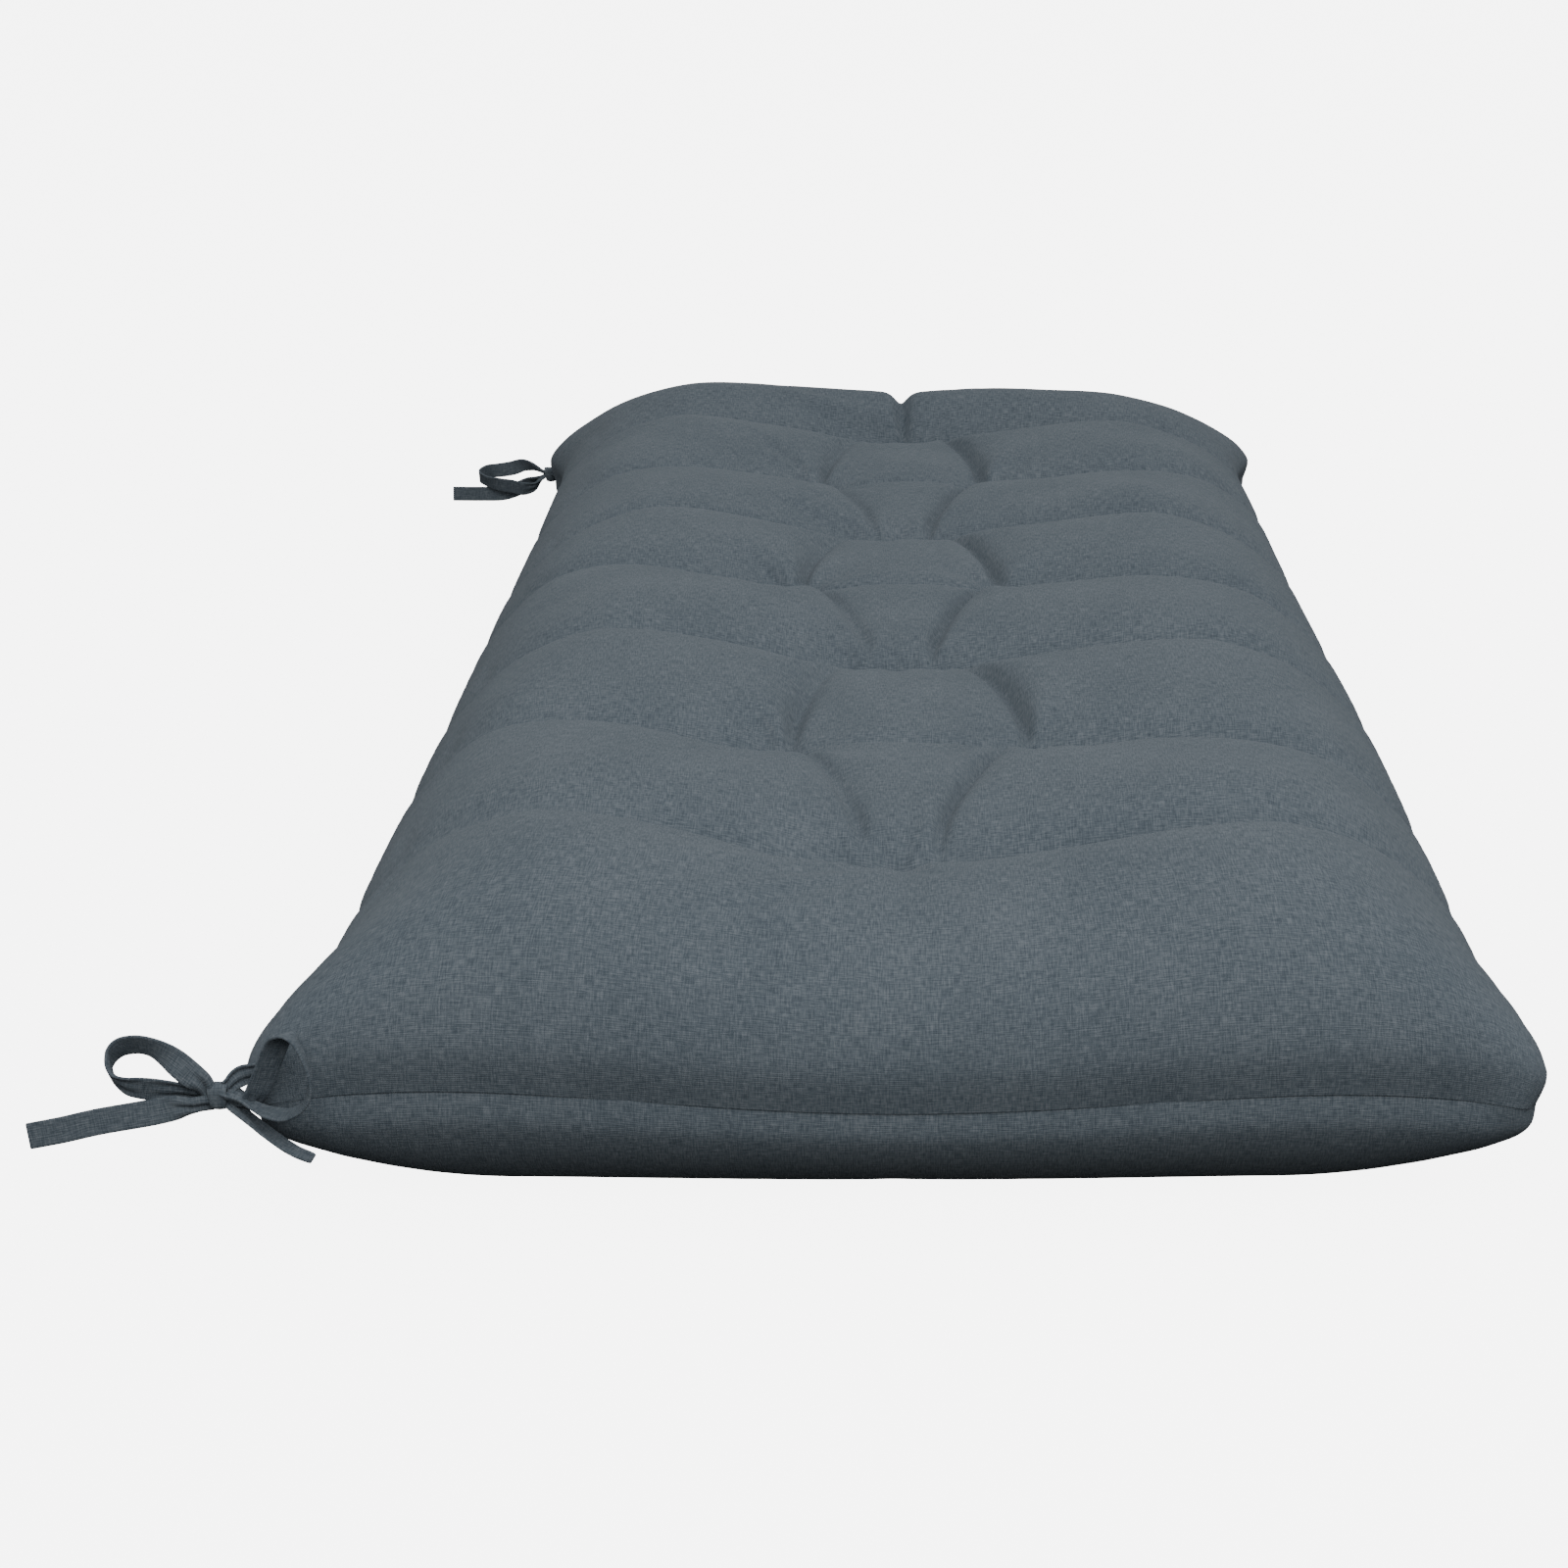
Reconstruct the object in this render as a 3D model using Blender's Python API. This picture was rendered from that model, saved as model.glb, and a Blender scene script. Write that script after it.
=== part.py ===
"""A filled, tufted bench cushion with a ribbon bow tied at each back corner.

The cushion lies on its underside. X runs along its length, +Y is the back edge that
carries the ties, +Z is up, and the origin is the middle of the flat underside.
Everything is in metres.
"""

import math

import bmesh
import bpy
import numpy as np

# ---------------------------------------------------------------- driving sizes
LENGTH = 1.118  # seam to seam along the bench, 44 inches
WIDTH = 0.470  # seam to seam from front to back at the corners, 18.5 inches
SEAM_HEIGHT = 0.046  # the edge seam above the floor
CROWN = 0.0865  # the top of the puffs above the seam
CORNER_RADIUS = 0.012  # in plan, where the edge seam turns

# The edge seam is drawn in between the corners, and a little more at each channel.
BACK_DRAW = 0.0145
FRONT_DRAW = 0.011
END_DRAW = 0.004
EAR = 0.105  # the corners stand out over this distance from each end
SEAM_WAVE = 0.004  # the seam of an end is lifted this much between its middle and corners
SEAM_WAVE_POWER = 2.4
CHANNEL_DRAW = 0.0022
CHANNEL_DRAW_HALF = 0.030

# The panels rise from the seam in a quarter of a superellipse.
END_RISE = 0.110
SIDE_RISE = 0.125
RISE_POWER = 2.2
EDGE_BULGE = 0.0045  # the panels swell this far out past their seam
BULGE_POWER = 0.6  # below 1, the bulge is fullest close to the seam
BULGE_TOP = 0.050  # and are back above the seam line at this height

# The filling has settled a little: less in the far front corner and in the far half.
SLUMP = 0.009
SAG = 0.008

# The puffs of the underside would reach below the floor, which presses them flat.
UNDER_END_RISE = 0.050
UNDER_TURN = 0.006  # shorter by this at the back edge than in the middle
UNDER_MIDDLE = 0.024  # and longer by this in the middle
UNDER_SIDE_RISE = 0.090
UNDER_POWER = 2.0
UNDER_CROWN = 0.0495
UNDER_SHARE = 0.45  # its creases have this share of the depths on top

# ---------------------------------------------------------------- the tufts
PITCH = 0.292  # from one middle tuft to the next
MIDDLE_TUFTS = (-1.5, -0.5, 0.5, 1.5)  # along the length, in pitches
MIDDLE_LINE = -0.003  # they stand a little towards the front edge
PAIRED_TUFTS = {-1.0: (0.051, -0.064), 0.0: (0.054, -0.058), 1.0: (0.051, -0.057)}  # back, front
TUFTED_HALF = 0.057  # the pairs stand about this far from the centre line
HOLLOWS = {  # the wide shallow hollow that a tuft pulls around itself
    "middle": {"depth": 0.021, "half": 0.145},
    "pair": {"depth": 0.017, "half": 0.130},
}
HOLLOW_ROUND = 0.012  # the bottom of a hollow is rounded over this distance
HOLLOW_FAR = 0.3  # the last one keeps this share of its depth towards the far end
PINCH = 0.026  # and the narrow pit in the middle of it

# Every crease is a cusp between two puffs. Its depth is given where it starts, half way
# along and at its end, with half the width of its trough.
CREASES = {
    "diamond": {"start": PINCH, "middle": 0.014, "end": PINCH, "half": 0.024},
    "cross": {"start": PINCH, "middle": 0.005, "end": PINCH, "half": 0.026},
    "channel": {"start": PINCH, "middle": 0.014, "end": 0.004, "half": 0.048},
    "end": {"start": PINCH, "middle": 0.010, "end": 0.004, "half": 0.045},
}
# A diamond opens slowly from its near tuft and closes late, round its far one: where its
# sides are pulled to, back from that tuft (in pitches) and out (as a share of the pair's).
DIAMOND_BENDS = {-1: {"along": 0.43, "out": 0.58}, 1: {"along": 0.04, "out": 0.80}}
DIAMOND_SINK = 0.019  # the diamonds stay lower than the long puffs beside them
DIAMOND_EDGE = 0.078
CREASE_STEPS = 14  # straight runs that each crease is measured along
BLEND_POWER = 5.0  # how crisply crossing creases join

# Channels wander a little on their way out. For each tuft row from the near end (-X):
# how far along X its channel has moved where it meets the back and the front edge.
CHANNELS = (
    {"row": -1.5, "back": 0.022, "front": 0.022},
    {"row": -1.0, "back": 0.018, "front": -0.020},
    {"row": -0.5, "back": -0.010, "front": -0.008},
    {"row": 0.0, "back": 0.007, "front": -0.030},
    {"row": 0.5, "back": -0.030, "front": -0.004},
    {"row": 1.0, "back": -0.025, "front": 0.022},
    {"row": 1.5, "back": -0.012, "front": 0.008},
)

# ---------------------------------------------------------------- the ties
# Two ribbons are caught in the seam at each back corner and tied in a bow. Every run of
# ribbon between the seam, the knot and a free end is a flat strip of its own.
MM = 0.001
RIBBON_WIDTH = 0.010
RIBBON_THICKNESS = 0.0012
RIBBON_STEP = 0.0032
KNOT_SIZE = (0.0084, 0.0080, 0.0100)
KNOT_ROUND = 0.0018
KNOT_FACE = 4.3  # millimetres out from the middle of the knot, just clear of its sides
LOCAL_AXES = np.array([[0.0, 1.0, 0.0], [0.0, 0.0, 1.0], [-1.0, 0.0, 0.0]])  # out, up, fore

# Rows of a run. Place: millimetres out from the back edge (+Y), up, and fore towards the
# near end (-X), all from the middle of the knot. Then the direction of the ribbon's width
# in the same axes, and its width as a share of the full one.
# (out, up, fore, width out, width up, width fore, share)
BOWS = {
    "near": {
        "knot": (-0.5640, 0.2477, 0.0527),
        "runs": {
            "loop_out": (
                (4.3, 2.6, 1.0, 0.0, 0.34, 0.94, 0.6),
                (9.0, 8.2, 2.0, 0.0, 0.82, 0.57, 0.9),
                (16.4, 14.8, 0.0, 0.0, 0.95, 0.31, 1.0),
                (22.5, 17.6, -3.0, 0.0, 0.88, 0.47, 1.0),
                (29.5, 17.6, -6.0, 0.0, 0.87, 0.5, 1.0),
                (36.0, 15.6, -6.0, 0.0, 0.87, 0.5, 1.0),
                (39.8, 11.2, -2.5, 0.1, 0.7, 0.7, 1.0),
                (37.6, 7.0, 2.5, 0.0, 0.7, 0.7, 1.0),
                (31.6, 4.2, 5.0, 0.0, 0.79, 0.61, 1.0),
                (23.4, 3.0, 5.0, 0.0, 0.79, 0.61, 1.0),
                (15.5, 2.0, 2.0, 0.0, 0.7, 0.7, 0.9),
                (8.5, 0.4, -0.8, 0.0, 0.42, 0.9, 0.75),
                (4.3, -0.4, -1.2, 0.0, 0.09, 1.0, 0.6),
            ),
            "tail_out": (
                (4.3, -3.4, 0.5, 0.0, 0.34, 0.94, 0.6),
                (8.1, -5.0, 1.4, 0.0, 0.70, 0.70, 0.85),
                (13.4, -5.2, 3.4, 0.0, 1.0, 0.09, 1.0),
                (19.7, -5.2, 4.6, 0.0, 0.97, -0.24, 1.0),
                (30.7, -6.0, 6.0, 0.0, 0.96, -0.28, 1.0),
                (43.7, -8.2, 6.0, 0.0, 0.96, -0.28, 1.0),
                (57.9, -11.8, 5.5, 0.0, 0.97, -0.26, 1.0),
                (71.3, -15.1, 4.0, 0.0, 0.97, -0.24, 1.0),
            ),
            "loop_in": (
                (-4.3, 0.0, 1.0, 0.0, 0.0, 1.0, 0.6),
                (-9.3, -1.0, 2.5, 0.1, 0.0, 1.0, 0.8),
                (-13.8, 1.4, 4.0, 0.35, 0.0, 0.93, 1.0),
                (-17.9, 8.1, 5.5, 0.65, 0.0, 0.75, 1.0),
                (-23.2, 17.4, 6.5, 0.70, 0.0, 0.70, 1.0),
                (-28.1, 24.0, 8.5, 0.60, 0.0, 0.80, 1.0),
                (-33.8, 22.8, 11.5, 0.60, 0.0, 0.80, 1.0),
                (-38.7, 16.3, 13.5, 0.70, 0.0, 0.70, 1.0),
                (-39.5, 9.4, 13.5, 0.70, 0.0, 0.70, 1.0),
                (-35.7, 1.1, 12.5, 0.60, 0.0, 0.80, 1.0),
                (-28.6, -4.0, 10.5, 0.20, 0.0, 1.0, 1.0),
                (-19.8, -4.6, 7.5, 0.0, 0.0, 1.0, 1.0),
                (-11.1, -3.6, 4.0, 0.0, 0.0, 1.0, 0.8),
                (-4.3, -1.9, 1.5, 0.0, 0.0, 1.0, 0.6),
            ),
            "tail_in": (
                (-4.3, -3.8, 0.5, 0.0, 0.0, 1.0, 0.6),
                (-11.9, -8.0, 4.0, 0.1, -0.05, 1.0, 0.9),
                (-19.3, -13.4, 5.8, 0.1, -0.05, 1.0, 1.0),
                (-26.7, -19.1, 7.5, 0.15, -0.08, 0.98, 1.0),
                (-31.8, -21.8, 8.5, 0.15, -0.08, 0.98, 1.0),
                (-37.2, -22.6, 9.0, 0.15, -0.08, 0.98, 1.0),
            ),
            "root_upper": (
                (-4.4, 3.2, -4.3, -0.6, 0.0, 0.8, 0.4),
                (-7.6, 4.0, -5.6, -0.5, 0.0, 0.87, 0.6),
                (-10.9, -0.8, -6.2, -0.6, 0.0, 0.8, 0.8),
                (-14.2, -5.4, -6.5, -0.7, 0.0, 0.7, 0.95),
            ),
            "root_lower": (
                (-4.4, 0.2, -4.3, -0.6, 0.0, 0.8, 0.4),
                (-7.4, -1.6, -5.6, -0.5, 0.0, 0.87, 0.6),
                (-10.6, -5.6, -5.9, -0.6, 0.0, 0.8, 0.8),
                (-14.0, -8.0, -6.3, -0.7, 0.0, 0.7, 0.95),
            ),
        },
    },
    "far": {
        "knot": (0.5640, 0.2418, 0.0472),
        "runs": {
            "loop_out": (
                (4.3, 3.0, 0.0, 0.0, 0.17, 0.98, 0.6),
                (7.8, 4.2, -0.5, 0.0, 0.50, 0.87, 0.8),
                (13.5, 5.6, -1.5, 0.0, 0.77, 0.64, 1.0),
                (19.8, 5.8, -3.0, 0.0, 0.94, 0.34, 1.0),
                (27.1, 3.3, -5.0, 0.0, 1.0, -0.05, 1.0),
                (36.9, 1.6, -6.0, 0.0, 1.0, 0.0, 1.0),
                (45.0, 1.2, -5.0, 0.0, 0.95, 0.3, 1.0),
                (49.4, -1.0, 0.0, 0.0, 0.90, 0.4, 1.0),
                (44.5, -3.5, 5.0, 0.0, 0.87, 0.5, 1.0),
                (35.6, -5.6, 7.0, 0.0, 0.97, 0.26, 1.0),
                (27.0, -7.0, 7.0, 0.0, 0.98, 0.17, 1.0),
                (18.4, -9.0, 6.4, 0.0, 0.97, 0.26, 1.0),
                (10.8, -8.2, 4.6, 0.0, 0.77, 0.64, 0.9),
                (7.0, -5.2, 2.4, 0.0, 0.34, 0.94, 0.7),
                (4.3, -3.0, 1.0, 0.0, 0.0, 1.0, 0.6),
            ),
            "tail_out": (
                (4.3, 0.0, -1.0, 0.0, 0.0, 1.0, 0.6),
                (8.4, -2.0, -2.5, 0.0, 0.34, 0.94, 0.8),
                (13.6, -5.2, -3.5, 0.0, 0.77, 0.64, 1.0),
                (18.9, -8.6, -3.5, 0.0, 0.98, 0.17, 1.0),
                (25.9, -11.8, -2.0, 0.0, 0.99, -0.14, 1.0),
                (34.7, -13.6, 0.0, 0.0, 0.98, -0.17, 1.0),
                (48.7, -13.6, 1.0, 0.0, 0.98, -0.17, 1.0),
                (68.3, -13.2, 2.0, 0.0, 0.99, -0.14, 1.0),
            ),
            "loop_in": (
                (-4.3, -0.2, -1.0, 0.0, 0.0, 1.0, 0.6),
                (-9.0, 0.0, -5.0, -0.6, 0.0, 0.8, 0.8),
                (-15.0, 4.0, -9.0, -0.5, 0.0, 0.87, 1.0),
                (-22.0, 12.0, -11.0, -0.4, 0.0, 0.9, 1.0),
                (-29.0, 17.0, -12.0, -0.3, 0.0, 0.95, 1.0),
                (-35.0, 13.5, -11.5, -0.3, 0.0, 0.95, 1.0),
                (-36.5, 6.0, -10.5, -0.4, 0.0, 0.9, 1.0),
                (-31.0, -1.0, -10.0, -0.3, 0.0, 0.95, 1.0),
                (-22.0, -4.2, -9.0, -0.2, 0.0, 1.0, 1.0),
                (-12.0, -4.2, -5.8, -0.4, 0.0, 0.9, 0.9),
                (-4.3, -2.1, -1.0, 0.0, 0.0, 1.0, 0.6),
            ),
            "tail_in": (
                (-4.3, -4.0, -0.8, 0.0, 0.0, 1.0, 0.6),
                (-9.0, -7.8, -4.0, -0.3, 0.0, 1.0, 0.9),
                (-15.0, -12.8, -7.5, -0.2, 0.0, 1.0, 1.0),
                (-22.0, -18.6, -9.5, -0.1, 0.0, 1.0, 1.0),
                (-30.0, -24.6, -10.5, 0.0, 0.0, 1.0, 1.0),
            ),
            "root_upper": (
                (-4.1, 1.5, 4.0, 0.6, 0.0, 0.8, 0.4),
                (-6.3, 0.8, 5.3, 0.6, 0.0, 0.8, 0.7),
                (-8.6, -0.4, 6.8, 0.7, 0.0, 0.7, 0.95),
            ),
            "root_lower": (
                (-4.1, -0.5, 4.0, 0.6, 0.0, 0.8, 0.4),
                (-6.3, -1.2, 5.3, 0.6, 0.0, 0.8, 0.7),
                (-8.6, -2.1, 6.8, 0.7, 0.0, 0.7, 0.95),
            ),
        },
    },
}

# ---------------------------------------------------------------- the grid of faces
CELLS_PER_HALF_PITCH = 8
CELLS_TO_PAIR = 6
CELLS_END = 9
CELLS_SIDE = 10
EDGE_CROWDING = 2.3  # above 1, the grid lines crowd towards the seam


def superellipse(share, power):
    """Height from 0 to 1 of a quarter of a superellipse, from its steep edge inwards."""
    inside = 1.0 - np.clip(share, 0.0, 1.0)
    return (1.0 - inside**power) ** (1.0 / power)


def smooth(share):
    share = np.clip(share, 0.0, 1.0)
    return share * share * (3.0 - 2.0 * share)


def eased(start, stop, cells):
    """Positions from start to stop, closer together towards start."""
    return [start + (stop - start) * (i / cells) ** EDGE_CROWDING for i in range(cells)]


def even(start, stop, cells):
    return [start + (stop - start) * i / cells for i in range(cells)]


def mirrored(lines, middle):
    return np.array(lines + middle + [-value for value in reversed(lines)])


def grid_lines_along():
    """X of the grid lines: finer at the ends, with a line on every tuft."""
    first = MIDDLE_TUFTS[0] * PITCH
    half_pitches = round(MIDDLE_TUFTS[-1] - MIDDLE_TUFTS[0]) * 2
    middle = even(first, -first, half_pitches * CELLS_PER_HALF_PITCH) + [-first]
    return mirrored(eased(-LENGTH / 2, first, CELLS_END), middle)


def grid_lines_across():
    """Y of the grid lines: finer at the long edges, with a line close to every tuft."""
    middle = even(-TUFTED_HALF, TUFTED_HALF, 2 * CELLS_TO_PAIR) + [TUFTED_HALF]
    return mirrored(eased(-WIDTH / 2, -TUFTED_HALF, CELLS_SIDE), middle)


# ---------------------------------------------------------------- the creases
def crease(kind, start, bend, end):
    """A crease of a kind as short runs along a curve from start to end, pulled to bend."""
    shape = CREASES[kind]
    along = np.linspace(0.0, 1.0, CREASE_STEPS + 1)[:, None]
    weights = np.hstack([(1 - along) ** 2, 2 * along * (1 - along), along**2])
    middle = 2 * shape["middle"] - 0.5 * (shape["start"] + shape["end"])
    depths = weights @ np.array([shape["start"], middle, shape["end"]])
    return {"points": weights @ np.array([start, bend, end]), "depths": depths, "half": shape["half"]}


def trough(x, y, run):
    """Depth of one crease at every point: a cusp whose sides round over onto the puffs."""
    deepest = np.zeros_like(x)
    points, depths = run["points"], run["depths"]
    for i in range(len(points) - 1):
        step = points[i + 1] - points[i]
        share = ((x - points[i, 0]) * step[0] + (y - points[i, 1]) * step[1]) / (step @ step)
        share = np.clip(share, 0.0, 1.0)
        away = np.hypot(x - points[i, 0] - share * step[0], y - points[i, 1] - share * step[1])
        depth = depths[i] + (depths[i + 1] - depths[i]) * share
        fall = np.clip(1.0 - away / run["half"], 0.0, 1.0)
        deepest = np.maximum(deepest, depth * fall**2)
    return deepest


def all_tufts():
    middle = [(row * PITCH, MIDDLE_LINE, "middle") for row in MIDDLE_TUFTS]
    return middle + [(row * PITCH, out, "pair") for row, pair in PAIRED_TUFTS.items() for out in pair]


def all_creases():
    """The whole net of creases, from the places of the tufts."""
    runs = []
    for paired, pair in PAIRED_TUFTS.items():
        x = paired * PITCH
        runs.append(crease("cross", (x, pair[0]), (x, MIDDLE_LINE), (x, pair[1])))
        for out in pair:
            for way, bend in DIAMOND_BENDS.items():
                middle = x + way * PITCH / 2
                pulled = (middle - way * bend["along"] * PITCH, bend["out"] * out)
                runs.append(crease("diamond", (middle, MIDDLE_LINE), pulled, (x, out)))
    for channel in CHANNELS:
        x = channel["row"] * PITCH
        pair = PAIRED_TUFTS.get(channel["row"], (MIDDLE_LINE, MIDDLE_LINE))
        for start, side, moved in ((pair[0], 1, channel["back"]), (pair[1], -1, channel["front"])):
            end = side * WIDTH / 2
            half_way = (x, 0.5 * (start + end))
            runs.append(crease("channel", (x, start), half_way, (x + moved, end)))
    for end in (-1, 1):
        x = end * MIDDLE_TUFTS[-1] * PITCH
        seam = (end * LENGTH / 2, 0.0)
        runs.append(crease("end", (x, MIDDLE_LINE), (x + end * 0.06, MIDDLE_LINE), seam))
    return runs


def crease_depth(x, y):
    """All creases joined: deepest where they cross, without a step between them."""
    total = np.zeros_like(x)
    for run in all_creases():
        total += trough(x, y, run) ** BLEND_POWER
    return total ** (1.0 / BLEND_POWER)


def hollow_depth(x, y):
    """How far the top sinks between its creases: round every tuft and along the diamonds."""
    hollow = np.zeros_like(x)
    for tuft_x, tuft_y, which in all_tufts():
        dish = HOLLOWS[which]
        away = np.hypot(np.hypot(x - tuft_x, y - tuft_y), HOLLOW_ROUND) - HOLLOW_ROUND
        hollow += (dish["depth"] * np.clip(1.0 - away / dish["half"], 0.0, 1.0)) ** BLEND_POWER
    hollow = hollow ** (1.0 / BLEND_POWER)
    last_tuft = MIDDLE_TUFTS[-1] * PITCH
    hollow = hollow * (1.0 - (1.0 - HOLLOW_FAR) * smooth((x - last_tuft) / 0.05))
    beside = (np.abs(y - MIDDLE_LINE) - 0.8 * TUFTED_HALF) / DIAMOND_EDGE
    strip = (1.0 - smooth(beside + 0.15)) * smooth((last_tuft - np.abs(x)) / 0.032)
    return np.maximum(hollow, DIAMOND_SINK * strip)


# ---------------------------------------------------------------- the two panels
def seam_outline(x, y):
    """Moves the points of the plain rectangle onto the drawn-in outline of the seam."""
    from_end = LENGTH / 2 - np.abs(x)
    from_side = WIDTH / 2 - np.abs(y)
    draw = np.where(y > 0, BACK_DRAW, FRONT_DRAW) * smooth(from_end / EAR)
    for channel in CHANNELS:
        for side, moved in ((1, channel["back"]), (-1, channel["front"])):
            away = np.abs(x - channel["row"] * PITCH - moved) / CHANNEL_DRAW_HALF
            draw = draw + (y * side > 0) * CHANNEL_DRAW * np.clip(1.0 - away, 0.0, 1.0) ** 2
    end_draw = END_DRAW * smooth(from_side / EAR)
    # In each corner, a square of the grid is rounded to a quarter disc.
    past_x = np.clip(1.0 - from_end / CORNER_RADIUS, 0.0, 1.0)
    past_y = np.clip(1.0 - from_side / CORNER_RADIUS, 0.0, 1.0)
    cut_x = CORNER_RADIUS * past_x * (1.0 - np.sqrt(1.0 - 0.5 * past_y**2))
    cut_y = CORNER_RADIUS * past_y * (1.0 - np.sqrt(1.0 - 0.5 * past_x**2))
    new_x = x * (1.0 - end_draw / (LENGTH / 2)) - np.sign(x) * cut_x
    new_y = y * (1.0 - draw / (WIDTH / 2)) - np.sign(y) * cut_y
    return new_x, new_y


def rise(x, y, end_rise, side_rise, power):
    """Height of a plain, uncreased panel from 0 at the seam to 1 on its crown."""
    from_end = (LENGTH / 2 - np.abs(x)) / end_rise
    from_side = (WIDTH / 2 - np.abs(y)) / side_rise
    by_end, by_side = superellipse(from_end, power), superellipse(from_side, power)
    # Close to the lower of the two, so that the corners stay full.
    both = by_end * by_side
    either = by_end + by_side - both
    return np.divide(both, either, out=np.zeros_like(both), where=both > 0.0)


def panel_heights(x, y):
    """Z of the top panel and of the underside over the points of the plain rectangle."""
    creased = crease_depth(x, y)
    from_end = LENGTH / 2 - np.abs(x)
    from_side = np.abs(y) / (WIDTH / 2)
    wave = SEAM_WAVE * np.sin(math.pi * from_side**SEAM_WAVE_POWER)
    seam = SEAM_HEIGHT + wave * (1.0 - smooth(from_end / END_RISE))
    top_rise = rise(x, y, END_RISE, SIDE_RISE, RISE_POWER)
    slump = SLUMP * smooth((x - 0.30) / 0.25) * smooth((-y - 0.06) / 0.12)
    slump = slump + SAG * smooth((x + 0.02) / 0.26) * (1.0 - smooth((x - 0.44) / 0.05))
    top = seam + (CROWN - slump - creased - hollow_depth(x, y)) * top_rise
    end_rise = UNDER_END_RISE - UNDER_TURN * y / (WIDTH / 2)
    end_rise = end_rise + UNDER_MIDDLE * (1.0 - smooth(np.abs(y) / 0.19))
    under_rise = rise(x, y, end_rise, UNDER_SIDE_RISE, UNDER_POWER)
    under = seam - (UNDER_CROWN - UNDER_SHARE * creased) * under_rise
    return top, np.maximum(under, 0.0)


def bulged(x, y, plain_x, plain_y, height):
    """Swells the walls of a panel out past the seam, at heights below BULGE_TOP."""
    share = np.clip(np.abs(height) / BULGE_TOP, 0.0, 1.0)
    swell = EDGE_BULGE * np.sin(math.pi * share**BULGE_POWER)
    near_end = 1.0 - smooth((LENGTH / 2 - np.abs(plain_x)) / (0.5 * END_RISE))
    near_side = 1.0 - smooth((WIDTH / 2 - np.abs(plain_y)) / (0.5 * SIDE_RISE))
    return x + np.sign(x) * swell * near_end, y + np.sign(y) * swell * near_side


def material(name, colour, roughness):
    made = bpy.data.materials.new(name)
    made.use_nodes = True
    shader = made.node_tree.nodes["Principled BSDF"]
    shader.inputs["Base Color"].default_value = (*colour, 1.0)
    shader.inputs["Roughness"].default_value = roughness
    shader.inputs["Metallic"].default_value = 0.0
    return made


def add_object(name, mesh_data, finish):
    mesh = bpy.data.meshes.new(name)
    mesh_data.to_mesh(mesh)
    mesh_data.free()
    mesh.materials.append(finish)
    mesh.shade_smooth()
    made = bpy.data.objects.new(name, mesh)
    bpy.context.scene.collection.objects.link(made)
    return made


def falls_back(x, y):
    """Whether a cell is split from high X, low Y, so that the split follows the creases."""
    half_pitches = (x / PITCH - MIDDLE_TUFTS[0]) * 2
    if abs(y) < TUFTED_HALF and 0 < half_pitches < 6:
        return (int(half_pitches) % 2 == 0) != (y > 0)
    return x * y < 0


def build_cushion(finish):
    """Both panels on one grid, sharing the points of the seam."""
    along, across = grid_lines_along(), grid_lines_across()
    plain_x, plain_y = (grid.T for grid in np.meshgrid(along, across))
    x, y = seam_outline(plain_x, plain_y)
    top, under = panel_heights(plain_x, plain_y)
    top_x, top_y = bulged(x, y, plain_x, plain_y, top - SEAM_HEIGHT)
    under_x, under_y = bulged(x, y, plain_x, plain_y, SEAM_HEIGHT - under)

    data = bmesh.new()
    last_i, last_j = len(along) - 1, len(across) - 1
    upper, lower = {}, {}
    for i in range(last_i + 1):
        for j in range(last_j + 1):
            upper[i, j] = data.verts.new((top_x[i, j], top_y[i, j], top[i, j]))
            if i in (0, last_i) or j in (0, last_j):
                lower[i, j] = upper[i, j]
            else:
                lower[i, j] = data.verts.new((under_x[i, j], under_y[i, j], under[i, j]))
    for i in range(last_i):
        for j in range(last_j):
            corners = ((i, j), (i + 1, j), (i + 1, j + 1), (i, j + 1))
            turned = falls_back(0.5 * (along[i] + along[i + 1]), 0.5 * (across[j] + across[j + 1]))
            order = (corners[1:] + corners[:1]) if turned else corners
            for verts, reverse in ((upper, False), (lower, True)):
                for corner in ((0, 1, 2), (0, 2, 3)):
                    loop = [verts[order[k]] for k in corner]
                    data.faces.new(reversed(loop) if reverse else loop)
    return add_object("cushion", data, finish)


# ---------------------------------------------------------------- the ribbon ties
def phantom(end, following):
    """The row to take as lying beyond an end, so that a run leaves the knot straight out."""
    if abs(end[0]) != KNOT_FACE:
        return end
    beyond = following.copy()
    beyond[0] = following[0] - 2 * np.sign(end[0]) * math.dist(end[:3], following[:3])
    return beyond


def curve_through(rows):
    """Samples of a smooth curve through the rows, and its directions, every RIBBON_STEP."""
    rows = np.array(rows)
    knots = [phantom(rows[0], rows[1]), *rows, phantom(rows[-1], rows[-2])]
    samples, directions = [], []
    for before, start, end, after in zip(knots, knots[1:], knots[2:], knots[3:], strict=False):
        steps = max(1, round(math.dist(start[:3], end[:3]) * MM / RIBBON_STEP))
        slope, bend = end - before, 2 * before - 5 * start + 4 * end - after
        twist = 3 * start - before - 3 * end + after
        last = after is knots[-1]
        for t in np.arange(steps + last) / steps:
            samples.append(0.5 * (2 * start + slope * t + bend * t**2 + twist * t**3))
            directions.append(slope + 2 * bend * t + 3 * twist * t**2)
    return np.array(samples), np.array(directions)


def unit(vector):
    return vector / np.linalg.norm(vector)


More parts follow.
